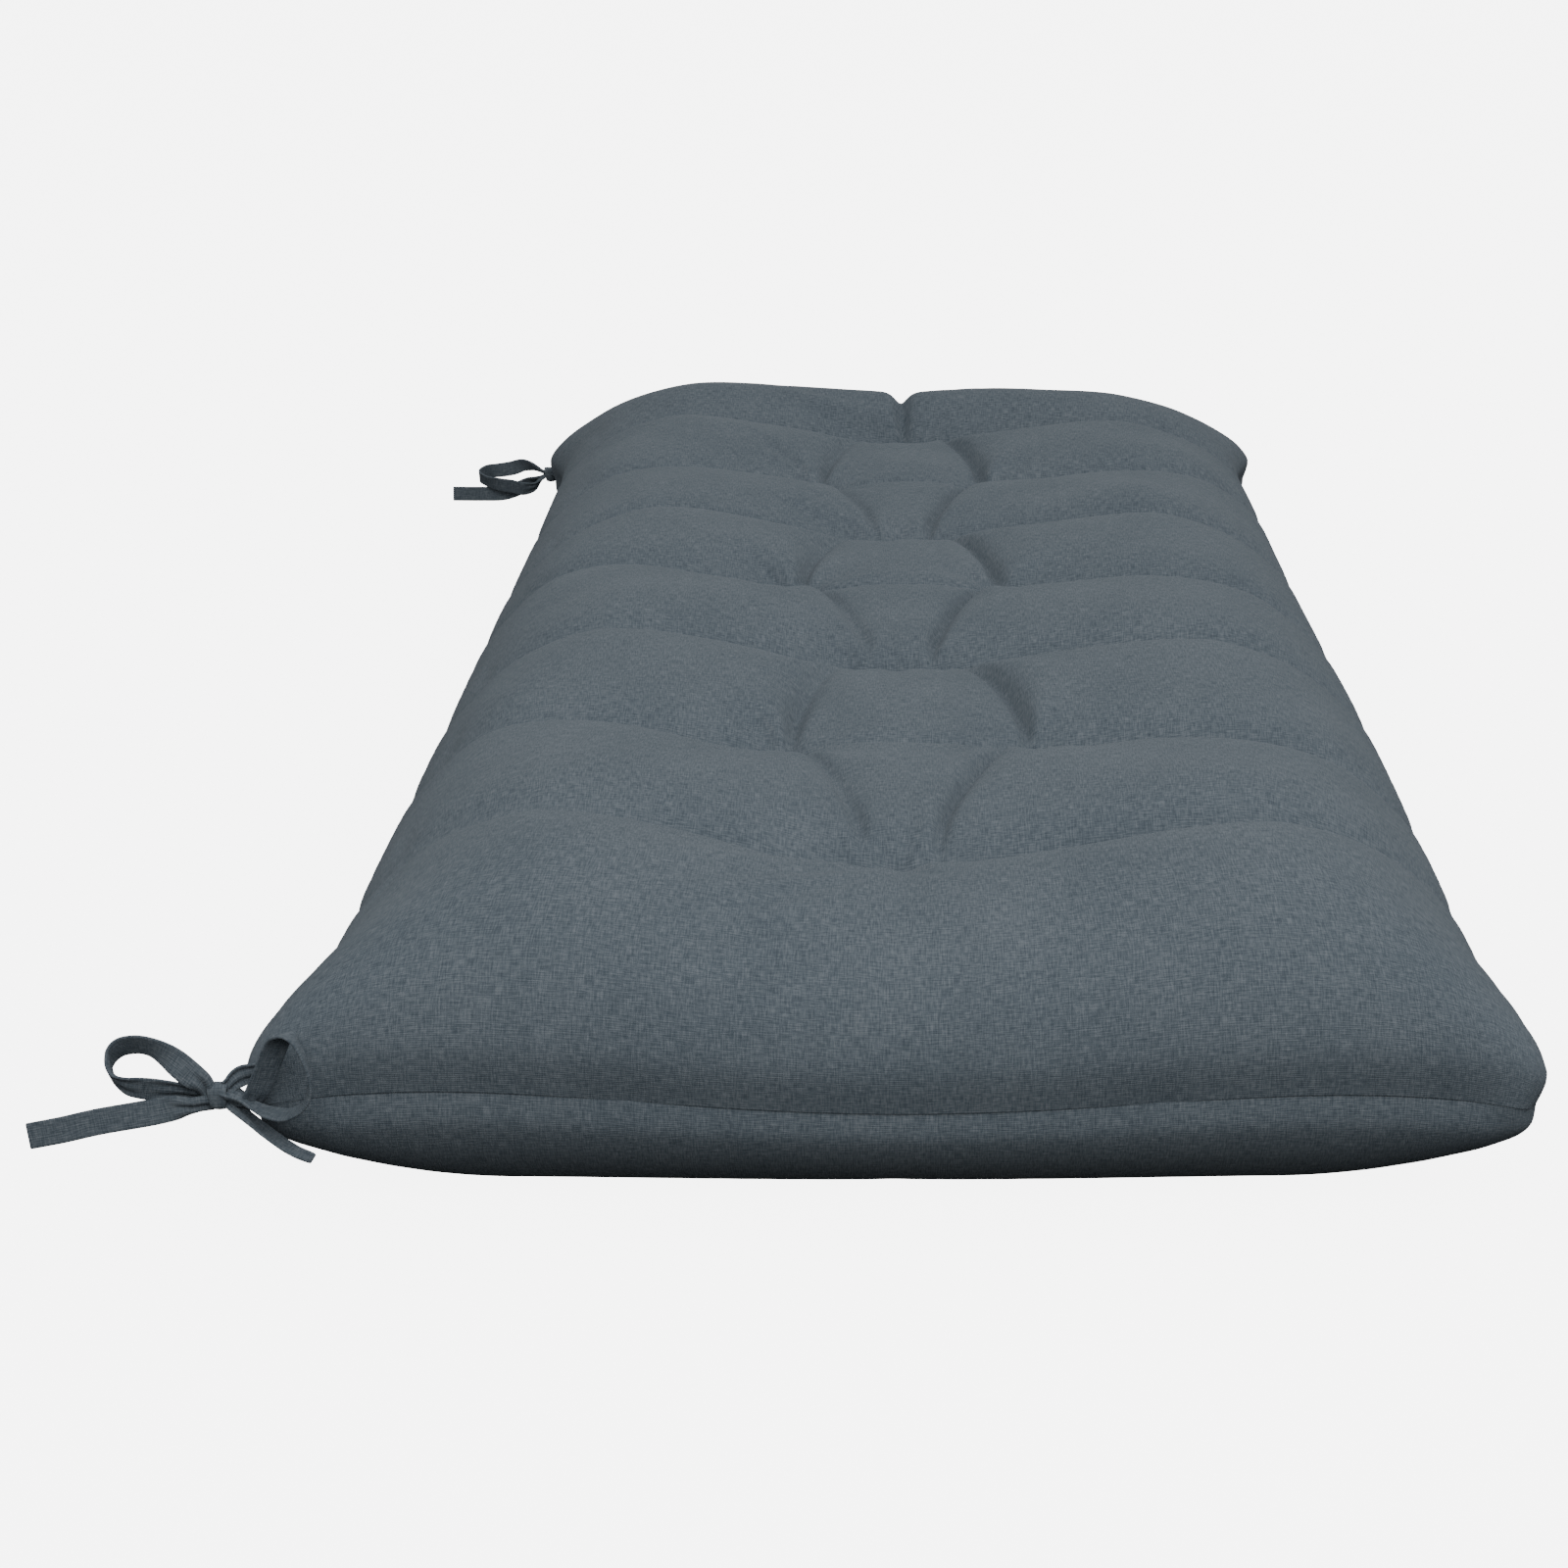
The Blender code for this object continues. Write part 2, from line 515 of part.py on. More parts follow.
def build_ribbon(name, knot, rows, finish):
    """A flat strip swept along its run: four corners at every sample, closed at both ends."""
    samples, directions = curve_through(rows)
    data = bmesh.new()
    rings = []
    for sample, direction in zip(samples, directions, strict=True):
        tangent = unit(direction[:3] @ LOCAL_AXES)
        width = sample[3:6] @ LOCAL_AXES
        across = unit(width - tangent * (width @ tangent))
        centre = np.array(knot) + MM * (sample[:3] @ LOCAL_AXES)
        half_width = across * RIBBON_WIDTH * sample[6] / 2
        half_thick = np.cross(tangent, across) * RIBBON_THICKNESS / 2
        sides = (half_width + half_thick, half_thick - half_width)
        corners = [centre + side for side in sides] + [centre - side for side in sides]
        rings.append([data.verts.new(corner) for corner in corners])
    for ring, following in zip(rings, rings[1:], strict=False):
        for k in range(4):
            data.faces.new((ring[k], following[k], following[(k + 1) % 4], ring[(k + 1) % 4]))
    data.faces.new(rings[0])
    data.faces.new(reversed(rings[-1]))
    bmesh.ops.recalc_face_normals(data, faces=data.faces)
    bmesh.ops.triangulate(data, faces=data.faces)
    return add_object(name, data, finish)


def build_knot(name, knot, finish):
    """The ribbon wrapped round the middle of the bow, as one rounded block."""
    data = bmesh.new()
    bmesh.ops.create_cube(data, size=1.0)
    bmesh.ops.scale(data, vec=KNOT_SIZE, verts=data.verts)
    bmesh.ops.bevel(
        data, geom=data.edges[:], offset=KNOT_ROUND, segments=3, profile=0.6, affect="EDGES"
    )
    bmesh.ops.translate(data, vec=knot, verts=data.verts)
    return add_object(name, data, finish)


def build():
    for old in list(bpy.data.objects):
        bpy.data.objects.remove(old)
    cloth = material("slate linen weave", (0.128, 0.152, 0.172), 0.92)
    build_cushion(cloth)
    for corner, bow in BOWS.items():
        build_knot(f"{corner}_knot", bow["knot"], cloth)
        for run, rows in bow["runs"].items():
            build_ribbon(f"{corner}_{run}", bow["knot"], rows, cloth)


build()
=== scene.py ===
# %% [markdown]
# # A tufted bench cushion
#
# The object is a long cushion for a bench: two panels of slate grey linen-look cloth, sewn
# together round the edge, filled with fibre and drawn in by ten blind tufts. A ribbon bow is
# tied at each of its two back corners. This file builds what the eye sees of it, piece by
# piece, around a fixed frame of plain solids that already has the right size and place.

# %% Load the fixed frame
import math

import bpy
import numpy as np
from mathutils import Matrix, Vector


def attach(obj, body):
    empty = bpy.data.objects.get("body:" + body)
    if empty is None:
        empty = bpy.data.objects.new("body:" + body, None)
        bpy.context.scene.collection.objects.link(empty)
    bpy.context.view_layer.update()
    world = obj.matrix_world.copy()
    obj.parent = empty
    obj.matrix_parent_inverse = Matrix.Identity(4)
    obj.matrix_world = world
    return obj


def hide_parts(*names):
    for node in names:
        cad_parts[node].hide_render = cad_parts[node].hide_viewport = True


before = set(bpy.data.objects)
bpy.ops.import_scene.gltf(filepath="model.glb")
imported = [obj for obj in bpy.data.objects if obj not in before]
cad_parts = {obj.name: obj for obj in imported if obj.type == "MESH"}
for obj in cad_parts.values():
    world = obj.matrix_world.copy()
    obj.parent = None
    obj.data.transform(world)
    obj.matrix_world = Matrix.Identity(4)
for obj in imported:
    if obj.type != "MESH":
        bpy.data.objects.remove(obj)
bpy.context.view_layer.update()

# %% [markdown]
# ## Small helpers
#
# Blender's operators act on whatever is selected, and loading the frame leaves its solids
# selected. So every step first deselects everything and then picks the one piece it works
# on. A second helper prints how many faces a piece has and how large it came out, because
# a number is the quickest way to notice a slip.


# %% Helpers for picking and measuring
def pick(piece):
    """Make this piece the only selected one, and the active one."""
    if bpy.context.object and bpy.context.object.mode != "OBJECT":
        bpy.ops.object.mode_set(mode="OBJECT")
    bpy.ops.object.select_all(action="DESELECT")
    piece.select_set(True)
    bpy.context.view_layer.objects.active = piece
    return piece


def places(piece):
    """The places of a mesh's points, as an array with a row for each."""
    flat = np.empty(len(piece.data.vertices) * 3)
    piece.data.vertices.foreach_get("co", flat)
    return flat.reshape(-1, 3)


def put(piece, points):
    """Write the places of a mesh's points back."""
    piece.data.vertices.foreach_set("co", points.ravel())
    piece.data.update()


def measured(piece):
    """Print a piece's number of faces and its size."""
    low, high = places(piece).min(0), places(piece).max(0)
    size = " x ".join(f"{value * 1000:.1f}" for value in high - low)
    print(f"{piece.name}: {len(piece.data.polygons)} faces, {size} mm")


# %% [markdown]
# ## The camera
#
# The view is along the cushion from one end, a little above it. A camera in Blender looks
# down its own -Z axis, so it is first stood up by a quarter turn less the pitch, and then
# turned to look along +X. The lens is long: the far end still looks more than half as wide
# as the near one, because the camera stands well back.

# %% Camera
CAMERA_PLACE = (-1.679, -0.005, 0.5206)
CAMERA_PITCH = math.radians(17.306)  # below the horizon
CAMERA_YAW = math.radians(2.207)  # to the left of +X
CAMERA_ROLL = math.radians(-0.636)
IMAGE_WIDTH = 1600
FOCAL_PIXELS = 3354.9

camera_data = bpy.data.cameras.new("camera")
camera_data.sensor_width = 36
camera_data.lens = FOCAL_PIXELS / IMAGE_WIDTH * camera_data.sensor_width
camera_data.clip_start = 0.01
camera = bpy.data.objects.new("camera", camera_data)
bpy.context.scene.collection.objects.link(camera)
camera.matrix_world = (
    Matrix.Translation(CAMERA_PLACE)
    @ Matrix.Rotation(CAMERA_YAW - math.pi / 2, 4, "Z")
    @ Matrix.Rotation(math.pi / 2 - CAMERA_PITCH, 4, "X")
    @ Matrix.Rotation(CAMERA_ROLL, 4, "Z")
)
bpy.context.scene.camera = camera
print(f"camera lens {camera_data.lens:.1f} mm")

# %% [markdown]
# ## The cushion: two panels on one grid
#
# The real cover is two flat panels sewn together round the edge. One way to model it is to
# sculpt a block. Here each panel is a grid instead, as the cloth is, so that every point
# keeps its place in the cloth, and the weave can follow it later. The lines of the grid
# crowd towards the seam, where the cloth turns sharply.

# %% Sizes of the cushion
LENGTH = 1.118
WIDTH = 0.476
SEAM_HEIGHT = 0.046
CROWN = 0.083
CORNER_RADIUS = 0.012

STEP_CROWN = 0.0040  # between the grid's lines on the crown
STEP_TUFTS = 0.0028  # and in the tufted strip along the middle
STEP_SEAM = 0.0026  # and at the seam
BESIDE_SEAM = 0.0011  # one more line runs this close to the seam, for its groove
TUFTED_HALF = 0.085
STEP_BLEND = 0.02  # beyond the tufted strip the steps widen over this much
SEAM_BAND = 0.05  # and towards the seam they narrow over this much
LAYOUT_SAMPLES = 4001

# %% Lay out the grid's lines


def spaced(size, middle_step, middle_half):
    """Lines from -size/2 to size/2, with their own steps in the middle and at the seam."""
    fine = np.linspace(0.0, size / 2, LAYOUT_SAMPLES)
    middle = np.clip((middle_half + STEP_BLEND - fine) / STEP_BLEND, 0.0, 1.0)
    edge = np.clip(1.0 - (size / 2 - fine) / SEAM_BAND, 0.0, 1.0)
    step = STEP_CROWN + (middle_step - STEP_CROWN) * middle + (STEP_SEAM - STEP_CROWN) * edge
    passed = np.concatenate([[0.0], np.cumsum(np.diff(fine) / step[1:])])
    half = np.interp(np.linspace(0.0, passed[-1], int(passed[-1]) + 1), passed, fine)
    half = np.insert(half, -1, size / 2 - BESIDE_SEAM)
    return np.concatenate([-half[:0:-1], half])


lines_along = spaced(LENGTH, STEP_CROWN, 0.0)
lines_across = spaced(WIDTH, STEP_TUFTS, TUFTED_HALF)
LINES_ALONG, LINES_ACROSS = len(lines_along), len(lines_across)
print(f"grid of {LINES_ALONG} x {LINES_ACROSS} lines")


# %% [markdown]
# ## The tufts and the creases between them
#
# A tuft is a thread pulled through the whole cushion. The ten of them stand in a zigzag,
# one in the middle and then a pair. The cloth is short of room between two tufts, so it
# folds into a crease there: from tuft to tuft, round diamonds, and from every tuft out to
# both long edges. Each crease is a curve with a depth at its start, middle and end.

# %% Sizes of the tufts and creases
PITCH = 0.292
MIDDLE_TUFTS = (-1.5, -0.5, 0.5, 1.5)
MIDDLE_LINE = -0.003
TUCK_HALF = 0.014  # the cloth tucks in this far to both sides of a middle tuft
PAIRED_TUFTS = {-1.0: (0.051, -0.064), 0.0: (0.054, -0.058), 1.0: (0.051, -0.057)}  # back, front
PINCH = 0.022
PINCH_HALF = 0.017

# The depth of a crease at its start, middle and end, and half of its width.
CREASES = {
    "back diamond": {"start": 0.009, "middle": 0.0055, "end": 0.014, "half": 0.011},
    "front diamond": {"start": 0.011, "middle": 0.0085, "end": 0.013, "half": 0.009},
    "tuck": {"start": 0.014, "middle": 0.018, "end": 0.014, "half": 0.014},
    "cross": {"start": 0.012, "middle": 0.0055, "end": 0.012, "half": 0.014},
    "back channel": {"start": 0.018, "middle": 0.0125, "end": 0.006, "half": 0.052},
    "front channel": {"start": 0.016, "middle": 0.0190, "end": 0.010, "half": 0.046},
    "near end": {"start": 0.010, "middle": 0.002, "end": 0.002, "half": 0.045},
    "far end": {"start": 0.014, "middle": 0.009, "end": 0.006, "half": 0.013},
}
CREASE_POWER = 2.2
CREASE_ROUND = 0.002
FOLD_SHARE = 0.4  # of a crease's width is a narrower fold
FOLD_DEPTH = 0.4  # which takes this share of its depth
END_BEND = 0.06  # the creases to both ends are pulled towards a point this far out
# Where the sides of a diamond bend, from a pair towards the near (-1) and the far (1) tuft.
DIAMOND_BENDS = {-1: {"along": 0.43, "out": 0.58}, 1: {"along": 0.04, "out": 0.80}}
# How far along a channel has moved when it reaches the back and the front edge.
CHANNELS = (
    {"row": -1.5, "back": 0.022, "front": 0.022},
    {"row": -1.0, "back": 0.018, "front": -0.020},
    {"row": -0.5, "back": -0.010, "front": -0.008},
    {"row": 0.0, "back": 0.007, "front": -0.030},
    {"row": 0.5, "back": -0.030, "front": -0.004},
    {"row": 1.0, "back": -0.025, "front": 0.022},
    {"row": 1.5, "back": -0.012, "front": 0.008},
)
CREASE_STEPS = 16
BLEND_POWER = 5.0
HOLLOWS = {
    "middle": {"depth": 0.021, "half": 0.145},
    "pair": {"depth": 0.017, "half": 0.130},
}
HOLLOW_ROUND = 0.012
HOLLOW_BLEND = 4.0
HOLLOW_FAR = 0.3  # the last hollow is this deep towards the far end
HOLLOW_FAR_BLEND = 0.05
DIAMOND_SINK = 0.019
DIAMOND_EDGE = 0.078
DIAMOND_INSET = 0.15  # the edge starts this share of its width inside the crease
DIAMOND_TIP = 0.032


# %% Measure the depth of a crease anywhere
def smooth(share):
    """From 0 to 1 with a soft start and a soft end."""
    share = np.clip(share, 0.0, 1.0)
    return share * share * (3.0 - 2.0 * share)


def crease(kind, start, bend, end):
    """A crease as short runs along a curve from start to end, pulled towards bend."""
    shape = CREASES[kind]
    t = np.linspace(0.0, 1.0, CREASE_STEPS + 1)[:, None]
    weights = np.hstack([(1 - t) ** 2, 2 * t * (1 - t), t**2])
    middle = 2 * shape["middle"] - 0.5 * (shape["start"] + shape["end"])
    depths = weights @ np.array([shape["start"], middle, shape["end"]])
    points = weights @ np.array([start, bend, end])
    return {"kind": kind, "points": points, "depths": depths, "half": shape["half"]}


def away_from(x, y, run):
    """Distance of every point from a crease, and the crease's depth beside it."""
    nearest = np.full(x.shape, 9.0)
    depth = np.zeros(x.shape)
    points, depths = run["points"], run["depths"]
    for i in range(len(points) - 1):
        step = points[i + 1] - points[i]
        share = ((x - points[i, 0]) * step[0] + (y - points[i, 1]) * step[1]) / (step @ step)
        share = np.clip(share, 0.0, 1.0)
        away = np.hypot(x - points[i, 0] - share * step[0], y - points[i, 1] - share * step[1])
        closer = away < nearest
        nearest = np.where(closer, away, nearest)
        depth = np.where(closer, depths[i] + (depths[i + 1] - depths[i]) * share, depth)
    return nearest, depth


# %% Draw the net of creases
tufts = [(row * PITCH, MIDDLE_LINE, "middle") for row in MIDDLE_TUFTS]
tufts += [(row * PITCH, out, "pair") for row, pair in PAIRED_TUFTS.items() for out in pair]


def crease_net():
    """Every crease of the top: tucks, crosses, diamonds, channels and the two to the ends."""
    runs = []
    for row in MIDDLE_TUFTS:
        ends = [(row * PITCH, MIDDLE_LINE + side * TUCK_HALF) for side in (-1, 1)]
        runs.append(crease("tuck", ends[0], (row * PITCH, MIDDLE_LINE), ends[1]))
    for row, pair in PAIRED_TUFTS.items():
        x = row * PITCH
        runs.append(crease("cross", (x, pair[0]), (x, MIDDLE_LINE), (x, pair[1])))
        for name, out in zip(("back", "front"), pair, strict=True):
            for way, bend in DIAMOND_BENDS.items():
                middle = x + way * PITCH / 2
                pull = (middle - way * bend["along"] * PITCH, bend["out"] * out)
                start = (middle, MIDDLE_LINE + math.copysign(TUCK_HALF, out))
                runs.append(crease(name + " diamond", start, pull, (x, out)))
    for channel in CHANNELS:
        x = channel["row"] * PITCH
        pair = PAIRED_TUFTS.get(channel["row"], (MIDDLE_LINE, MIDDLE_LINE))
        for name, start, side in (("back", pair[0], 1), ("front", pair[1], -1)):
            end = side * WIDTH / 2
            bend = (x, (start + end) / 2)
            runs.append(crease(name + " channel", (x, start), bend, (x + channel[name], end)))
    for way, kind in ((-1, "near end"), (1, "far end")):
        x = way * MIDDLE_TUFTS[-1] * PITCH
        end = (way * LENGTH / 2, 0.0)
        runs.append(crease(kind, (x, MIDDLE_LINE), (x + way * END_BEND, MIDDLE_LINE), end))
    return runs


net = crease_net()
print(len(tufts), "tufts,", len(net), "creases")

# %% [markdown]
# ## The filled shape
#
# Filling swells each panel. Its rise from the seam is a quarter of a superellipse, which is
# a circle's formula with another power: steep at the seam and flat on the crown. The seam's
# outline is drawn in between the corners, because a puffed panel spans less than a flat
# one, and that leaves the corners standing out like ears. The underside would be as round
# as the top, but the surface below presses it flat.

# %% Sizes of the filled shape
BACK_DRAW = 0.0158
FRONT_DRAW = 0.0105
FRONT_DRAW_FAR = 0.004  # the front edge is drawn in this much more in the far half
FAR_HALF_START = -0.20
FAR_HALF_BLEND = 0.30
END_DRAW = 0.004
EAR = 0.080
SLUMP = {"depth": 0.009, "along": (0.30, 0.25), "out": (0.06, 0.12)}  # in the far front corner
SAG = {"depth": 0.008, "start": (-0.02, 0.26), "stop": (0.44, 0.05)}  # up to the last tuft
SEAM_SAG = 0.0045
SEAM_SAG_HALF = 0.16
SEAM_WAVE = 0.004
SEAM_WAVE_POWER = 2.4
CHANNEL_DRAW = 0.0022
CHANNEL_DRAW_HALF = 0.030
END_RISE = 0.110
SIDE_RISE = 0.125
RISE_POWER = 2.2
SIDE_BULGE = 0.0048
END_BULGE = 0.0015
UNDER_BULGE = 0.0003
BULGE_POWER = 0.6
BULGE_TOP = 0.050
BULGE_REACH = 0.5  # of the rise
UNDER_END_RISE = 0.0500  # the underside reaches the surface this far in from an end
UNDER_TURN = 0.0060  # this much nearer at the back edge, and further at the front
UNDER_MIDDLE = 0.0240  # and this much further in the middle
UNDER_MIDDLE_HALF = 0.19
UNDER_SIDE_RISE = 0.090
UNDER_POWER = 2.0
UNDER_CROWN = 0.0495
UNDER_SHARE = 0.45


# %% Formulas of the filled shape
def superellipse(share, power):
    """From 0 at the seam to 1, steep at first and then flat."""
    inside = 1.0 - np.clip(share, 0.0, 1.0)
    return (1.0 - inside**power) ** (1.0 / power)


def rise(x, y, end_rise, side_rise, power):
    """Height of a plain panel from 0 at the seam to 1 on its crown."""
    by_end = superellipse((LENGTH / 2 - np.abs(x)) / end_rise, power)
    by_side = superellipse((WIDTH / 2 - np.abs(y)) / side_rise, power)
    both = by_end * by_side
    either = by_end + by_side - both
    return np.divide(both, either, out=np.zeros_like(both), where=both > 0.0)


def drawn_in(x, y):
    """Move points of the flat panel onto the seam's drawn-in outline."""
    from_end, from_side = LENGTH / 2 - np.abs(x), WIDTH / 2 - np.abs(y)
    front_draw = FRONT_DRAW + FRONT_DRAW_FAR * smooth((x - FAR_HALF_START) / FAR_HALF_BLEND)
    draw = np.where(y > 0, BACK_DRAW, front_draw) * smooth(from_end / EAR)
    for channel in CHANNELS:
        for side, moved in ((1, channel["back"]), (-1, channel["front"])):
            away = np.abs(x - channel["row"] * PITCH - moved) / CHANNEL_DRAW_HALF
            draw = draw + (y * side > 0) * CHANNEL_DRAW * np.clip(1.0 - away, 0.0, 1.0) ** 2
    end_draw = END_DRAW * smooth(from_side / EAR)
    past_x = np.clip(1.0 - from_end / CORNER_RADIUS, 0.0, 1.0)
    past_y = np.clip(1.0 - from_side / CORNER_RADIUS, 0.0, 1.0)
    cut_x = CORNER_RADIUS * past_x * (1.0 - np.sqrt(1.0 - 0.5 * past_y**2))
    cut_y = CORNER_RADIUS * past_y * (1.0 - np.sqrt(1.0 - 0.5 * past_x**2))
    new_x = x * (1.0 - end_draw / (LENGTH / 2)) - np.sign(x) * cut_x
    new_y = y * (1.0 - draw / (WIDTH / 2)) - np.sign(y) * cut_y
    return new_x, new_y


def fallen(away, half):
    """From 1 at the bottom of a crease to 0 at its edge: a wide dip with a fold in it."""
    away = np.hypot(away, CREASE_ROUND) - CREASE_ROUND
    dip = np.clip(1.0 - away / half, 0.0, 1.0) ** CREASE_POWER
    fold = np.clip(1.0 - away / (FOLD_SHARE * half), 0.0, 1.0) ** CREASE_POWER
    return (1.0 - FOLD_DEPTH) * dip + FOLD_DEPTH * fold


def crease_depth(x, y):
    """All creases and pinches joined, deepest where they cross."""
    total = np.zeros_like(x)
    for run in net:
        away, depth = away_from(x, y, run)
        total += (depth * fallen(away, run["half"])) ** BLEND_POWER
    for tuft_x, tuft_y, row_kind in tufts:
        total += (PINCH * fallen(np.hypot(x - tuft_x, y - tuft_y), PINCH_HALF)) ** BLEND_POWER
    return total ** (1.0 / BLEND_POWER)


def hollow_depth(x, y):
    """How far the top sinks between its creases: round every tuft and inside the diamonds."""
    hollow = np.zeros_like(x)
    for tuft_x, tuft_y, row_kind in tufts:
        dish = HOLLOWS[row_kind]
        away = np.hypot(np.hypot(x - tuft_x, y - tuft_y), HOLLOW_ROUND) - HOLLOW_ROUND
        hollow += (dish["depth"] * np.clip(1.0 - away / dish["half"], 0.0, 1.0)) ** HOLLOW_BLEND
    hollow = hollow ** (1.0 / HOLLOW_BLEND)
    past_last = smooth((x - MIDDLE_TUFTS[-1] * PITCH) / HOLLOW_FAR_BLEND)
    hollow = hollow * (1.0 - (1.0 - HOLLOW_FAR) * past_last)
    sides = np.vstack([run["points"] for run in net if run["kind"] == "back diamond"])
    sides = sides[np.argsort(sides[:, 0])]
    half = np.interp(x, sides[:, 0], sides[:, 1], left=0.0, right=0.0)
    inside = 1.0 - smooth((np.abs(y - MIDDLE_LINE) - half) / DIAMOND_EDGE + DIAMOND_INSET)
    strip = inside * smooth((MIDDLE_TUFTS[-1] * PITCH - np.abs(x)) / DIAMOND_TIP)
    return np.maximum(hollow, DIAMOND_SINK * strip)


def part_of(place, start_and_length):
    """From 0 to 1 over a length that begins at a place."""
    start, length = start_and_length
    return smooth((place - start) / length)


def filled(x, y, upper):
    """The place in space of points of one flat panel, once the cushion is filled."""
    seam_x, seam_y = drawn_in(x, y)
    wave = SEAM_WAVE * np.sin(math.pi * (np.abs(y) / (WIDTH / 2)) ** SEAM_WAVE_POWER)
    wave = wave - SEAM_SAG * (1.0 - smooth(np.abs(y) / SEAM_SAG_HALF))
    seam = SEAM_HEIGHT + wave * (1.0 - smooth((LENGTH / 2 - np.abs(x)) / END_RISE))
    creased = crease_depth(x, y)
    if upper:
        share = rise(x, y, END_RISE, SIDE_RISE, RISE_POWER)
        slump = SLUMP["depth"] * part_of(x, SLUMP["along"]) * part_of(-y, SLUMP["out"])
        sag = SAG["depth"] * part_of(x, SAG["start"]) * (1.0 - part_of(x, SAG["stop"]))
        slump = slump + sag
        z = seam + (CROWN - slump - creased - hollow_depth(x, y)) * share
    else:
        end_rise = UNDER_END_RISE - UNDER_TURN * y / (WIDTH / 2)
        end_rise = end_rise + UNDER_MIDDLE * (1.0 - smooth(np.abs(y) / UNDER_MIDDLE_HALF))
        share = rise(x, y, end_rise, UNDER_SIDE_RISE, UNDER_POWER)
        z = np.maximum(seam - (UNDER_CROWN - UNDER_SHARE * creased) * share, 0.0)
    part_way = np.clip(np.abs(z - SEAM_HEIGHT) / BULGE_TOP, 0.0, 1.0)
    swell = np.sin(math.pi * part_way**BULGE_POWER)
    near_end = 1.0 - smooth((LENGTH / 2 - np.abs(x)) / (BULGE_REACH * END_RISE))
    near_side = 1.0 - smooth((WIDTH / 2 - np.abs(y)) / (BULGE_REACH * SIDE_RISE))
    out_x = seam_x + np.sign(x) * (END_BULGE if upper else 0.0) * swell * near_end
    out_y = seam_y + np.sign(y) * (SIDE_BULGE if upper else UNDER_BULGE) * swell * near_side
    return np.stack([out_x, out_y, z], axis=-1)


# %% [markdown]
# ## Cut, sew and fill
#
# Each panel starts as Blender's own grid, added flat. Its points are then moved to where
# the filling holds them. The distance walked over the puffs, from the middle of the panel
# outwards, is each line's place in the flat cloth, and it is kept as the UV map, in metres.
# The two panels share the places of the seam's points, so merging by distance sews them.


# %% Helpers for a grid of cloth
MEASURED_OUT = 0.13  # the cloth's length is measured along this line, over the puffs,
MEASURED_ALONG = 0.75 * PITCH  # and its width along this one, between two rows of tufts


def walked(points, axis):
    """Distance along the grid's lines in one direction, counted from the middle line."""
    steps = np.linalg.norm(np.diff(points, axis=axis), axis=-1)
    start = np.zeros_like(np.take(steps, [0], axis=axis))
    total = np.concatenate([start, np.cumsum(steps, axis=axis)], axis=axis)
    return total - np.take(total, [total.shape[axis] // 2], axis=axis)


def grid_numbers(piece, lines, sides):
    """Which line along and which line across every point of a new grid is on."""
    flat = places(piece)
    i = np.rint((flat[:, 0] + 0.5) * (lines - 1)).astype(int)
    j = np.rint((flat[:, 1] + 0.5) * (sides - 1)).astype(int)
    return i, j


def write_flat_places(piece, u, v):
    """Write every point's place in the flat cloth, in metres, into the UV map."""
    corners = np.empty(len(piece.data.loops), dtype=int)
    piece.data.loops.foreach_get("vertex_index", corners)
    uv = np.stack([u[corners], v[corners]], axis=1)
    piece.data.uv_layers[0].data.foreach_set("uv", uv.ravel())


def keep(panel, name, values):
    """Store a number with every point; it stays with the point when panels are joined."""
    stored = panel.data.attributes.new(name, "FLOAT", "POINT")
    stored.data.foreach_set("value", values.astype(np.float32))


def kept(piece, name):
    """Read such numbers back."""
    values = np.empty(len(piece.data.vertices), dtype=np.float32)
    piece.data.attributes[name].data.foreach_get("value", values)
    return values.astype(float)


# %% Make a panel
def make_panel(name, upper):
    """One panel as a grid, moved to its filled shape."""
    bpy.ops.object.select_all(action="DESELECT")
    bpy.ops.mesh.primitive_grid_add(
        x_subdivisions=LINES_ALONG - 1, y_subdivisions=LINES_ACROSS - 1, size=1
    )
    panel = bpy.context.object
    panel.name = name
    i, j = grid_numbers(panel, LINES_ALONG, LINES_ACROSS)
    x, y = np.meshgrid(lines_along, lines_across, indexing="ij")
    shape = filled(x, y, upper)
    put(panel, shape[i, j])

    keep(panel, "flat_x", x[i, j])
    keep(panel, "flat_y", y[i, j])
    keep(panel, "upper", np.full(len(i), float(upper)))
    cloth_u = walked(shape, 0)[:, np.abs(lines_across - MEASURED_OUT).argmin()]
    cloth_v = walked(shape, 1)[np.abs(lines_along - MEASURED_ALONG).argmin()]
    write_flat_places(panel, cloth_u[i], cloth_v[j])
    pick(panel)
    if not upper:
        bpy.ops.object.mode_set(mode="EDIT")
        bpy.ops.mesh.select_all(action="SELECT")
        bpy.ops.mesh.flip_normals()
        bpy.ops.object.mode_set(mode="OBJECT")
    measured(panel)
    return panel


top_panel = make_panel("top_panel", True)
under_panel = make_panel("under_panel", False)

# %% Sew the panels
SEWN_WITHIN = 0.00002

pick(top_panel)
under_panel.select_set(True)
bpy.ops.object.join()
cushion = bpy.context.object
cushion.name = "bench_cushion"
bpy.ops.object.mode_set(mode="EDIT")
bpy.ops.mesh.select_all(action="SELECT")
bpy.ops.mesh.remove_doubles(threshold=SEWN_WITHIN)
bpy.ops.object.mode_set(mode="OBJECT")
measured(cushion)

# %% [markdown]
# ## Let the filling push
#
# The formulas put every crease where it belongs, but cloth never lies exactly like a
# formula. So the cover is now cloth for a moment: Blender's Cloth pushes it out from inside
# with an even pressure, while the seam, the tufts and the underside, which rests on a
# surface, are held. Each point may move only a few millimetres, so that the size stays.

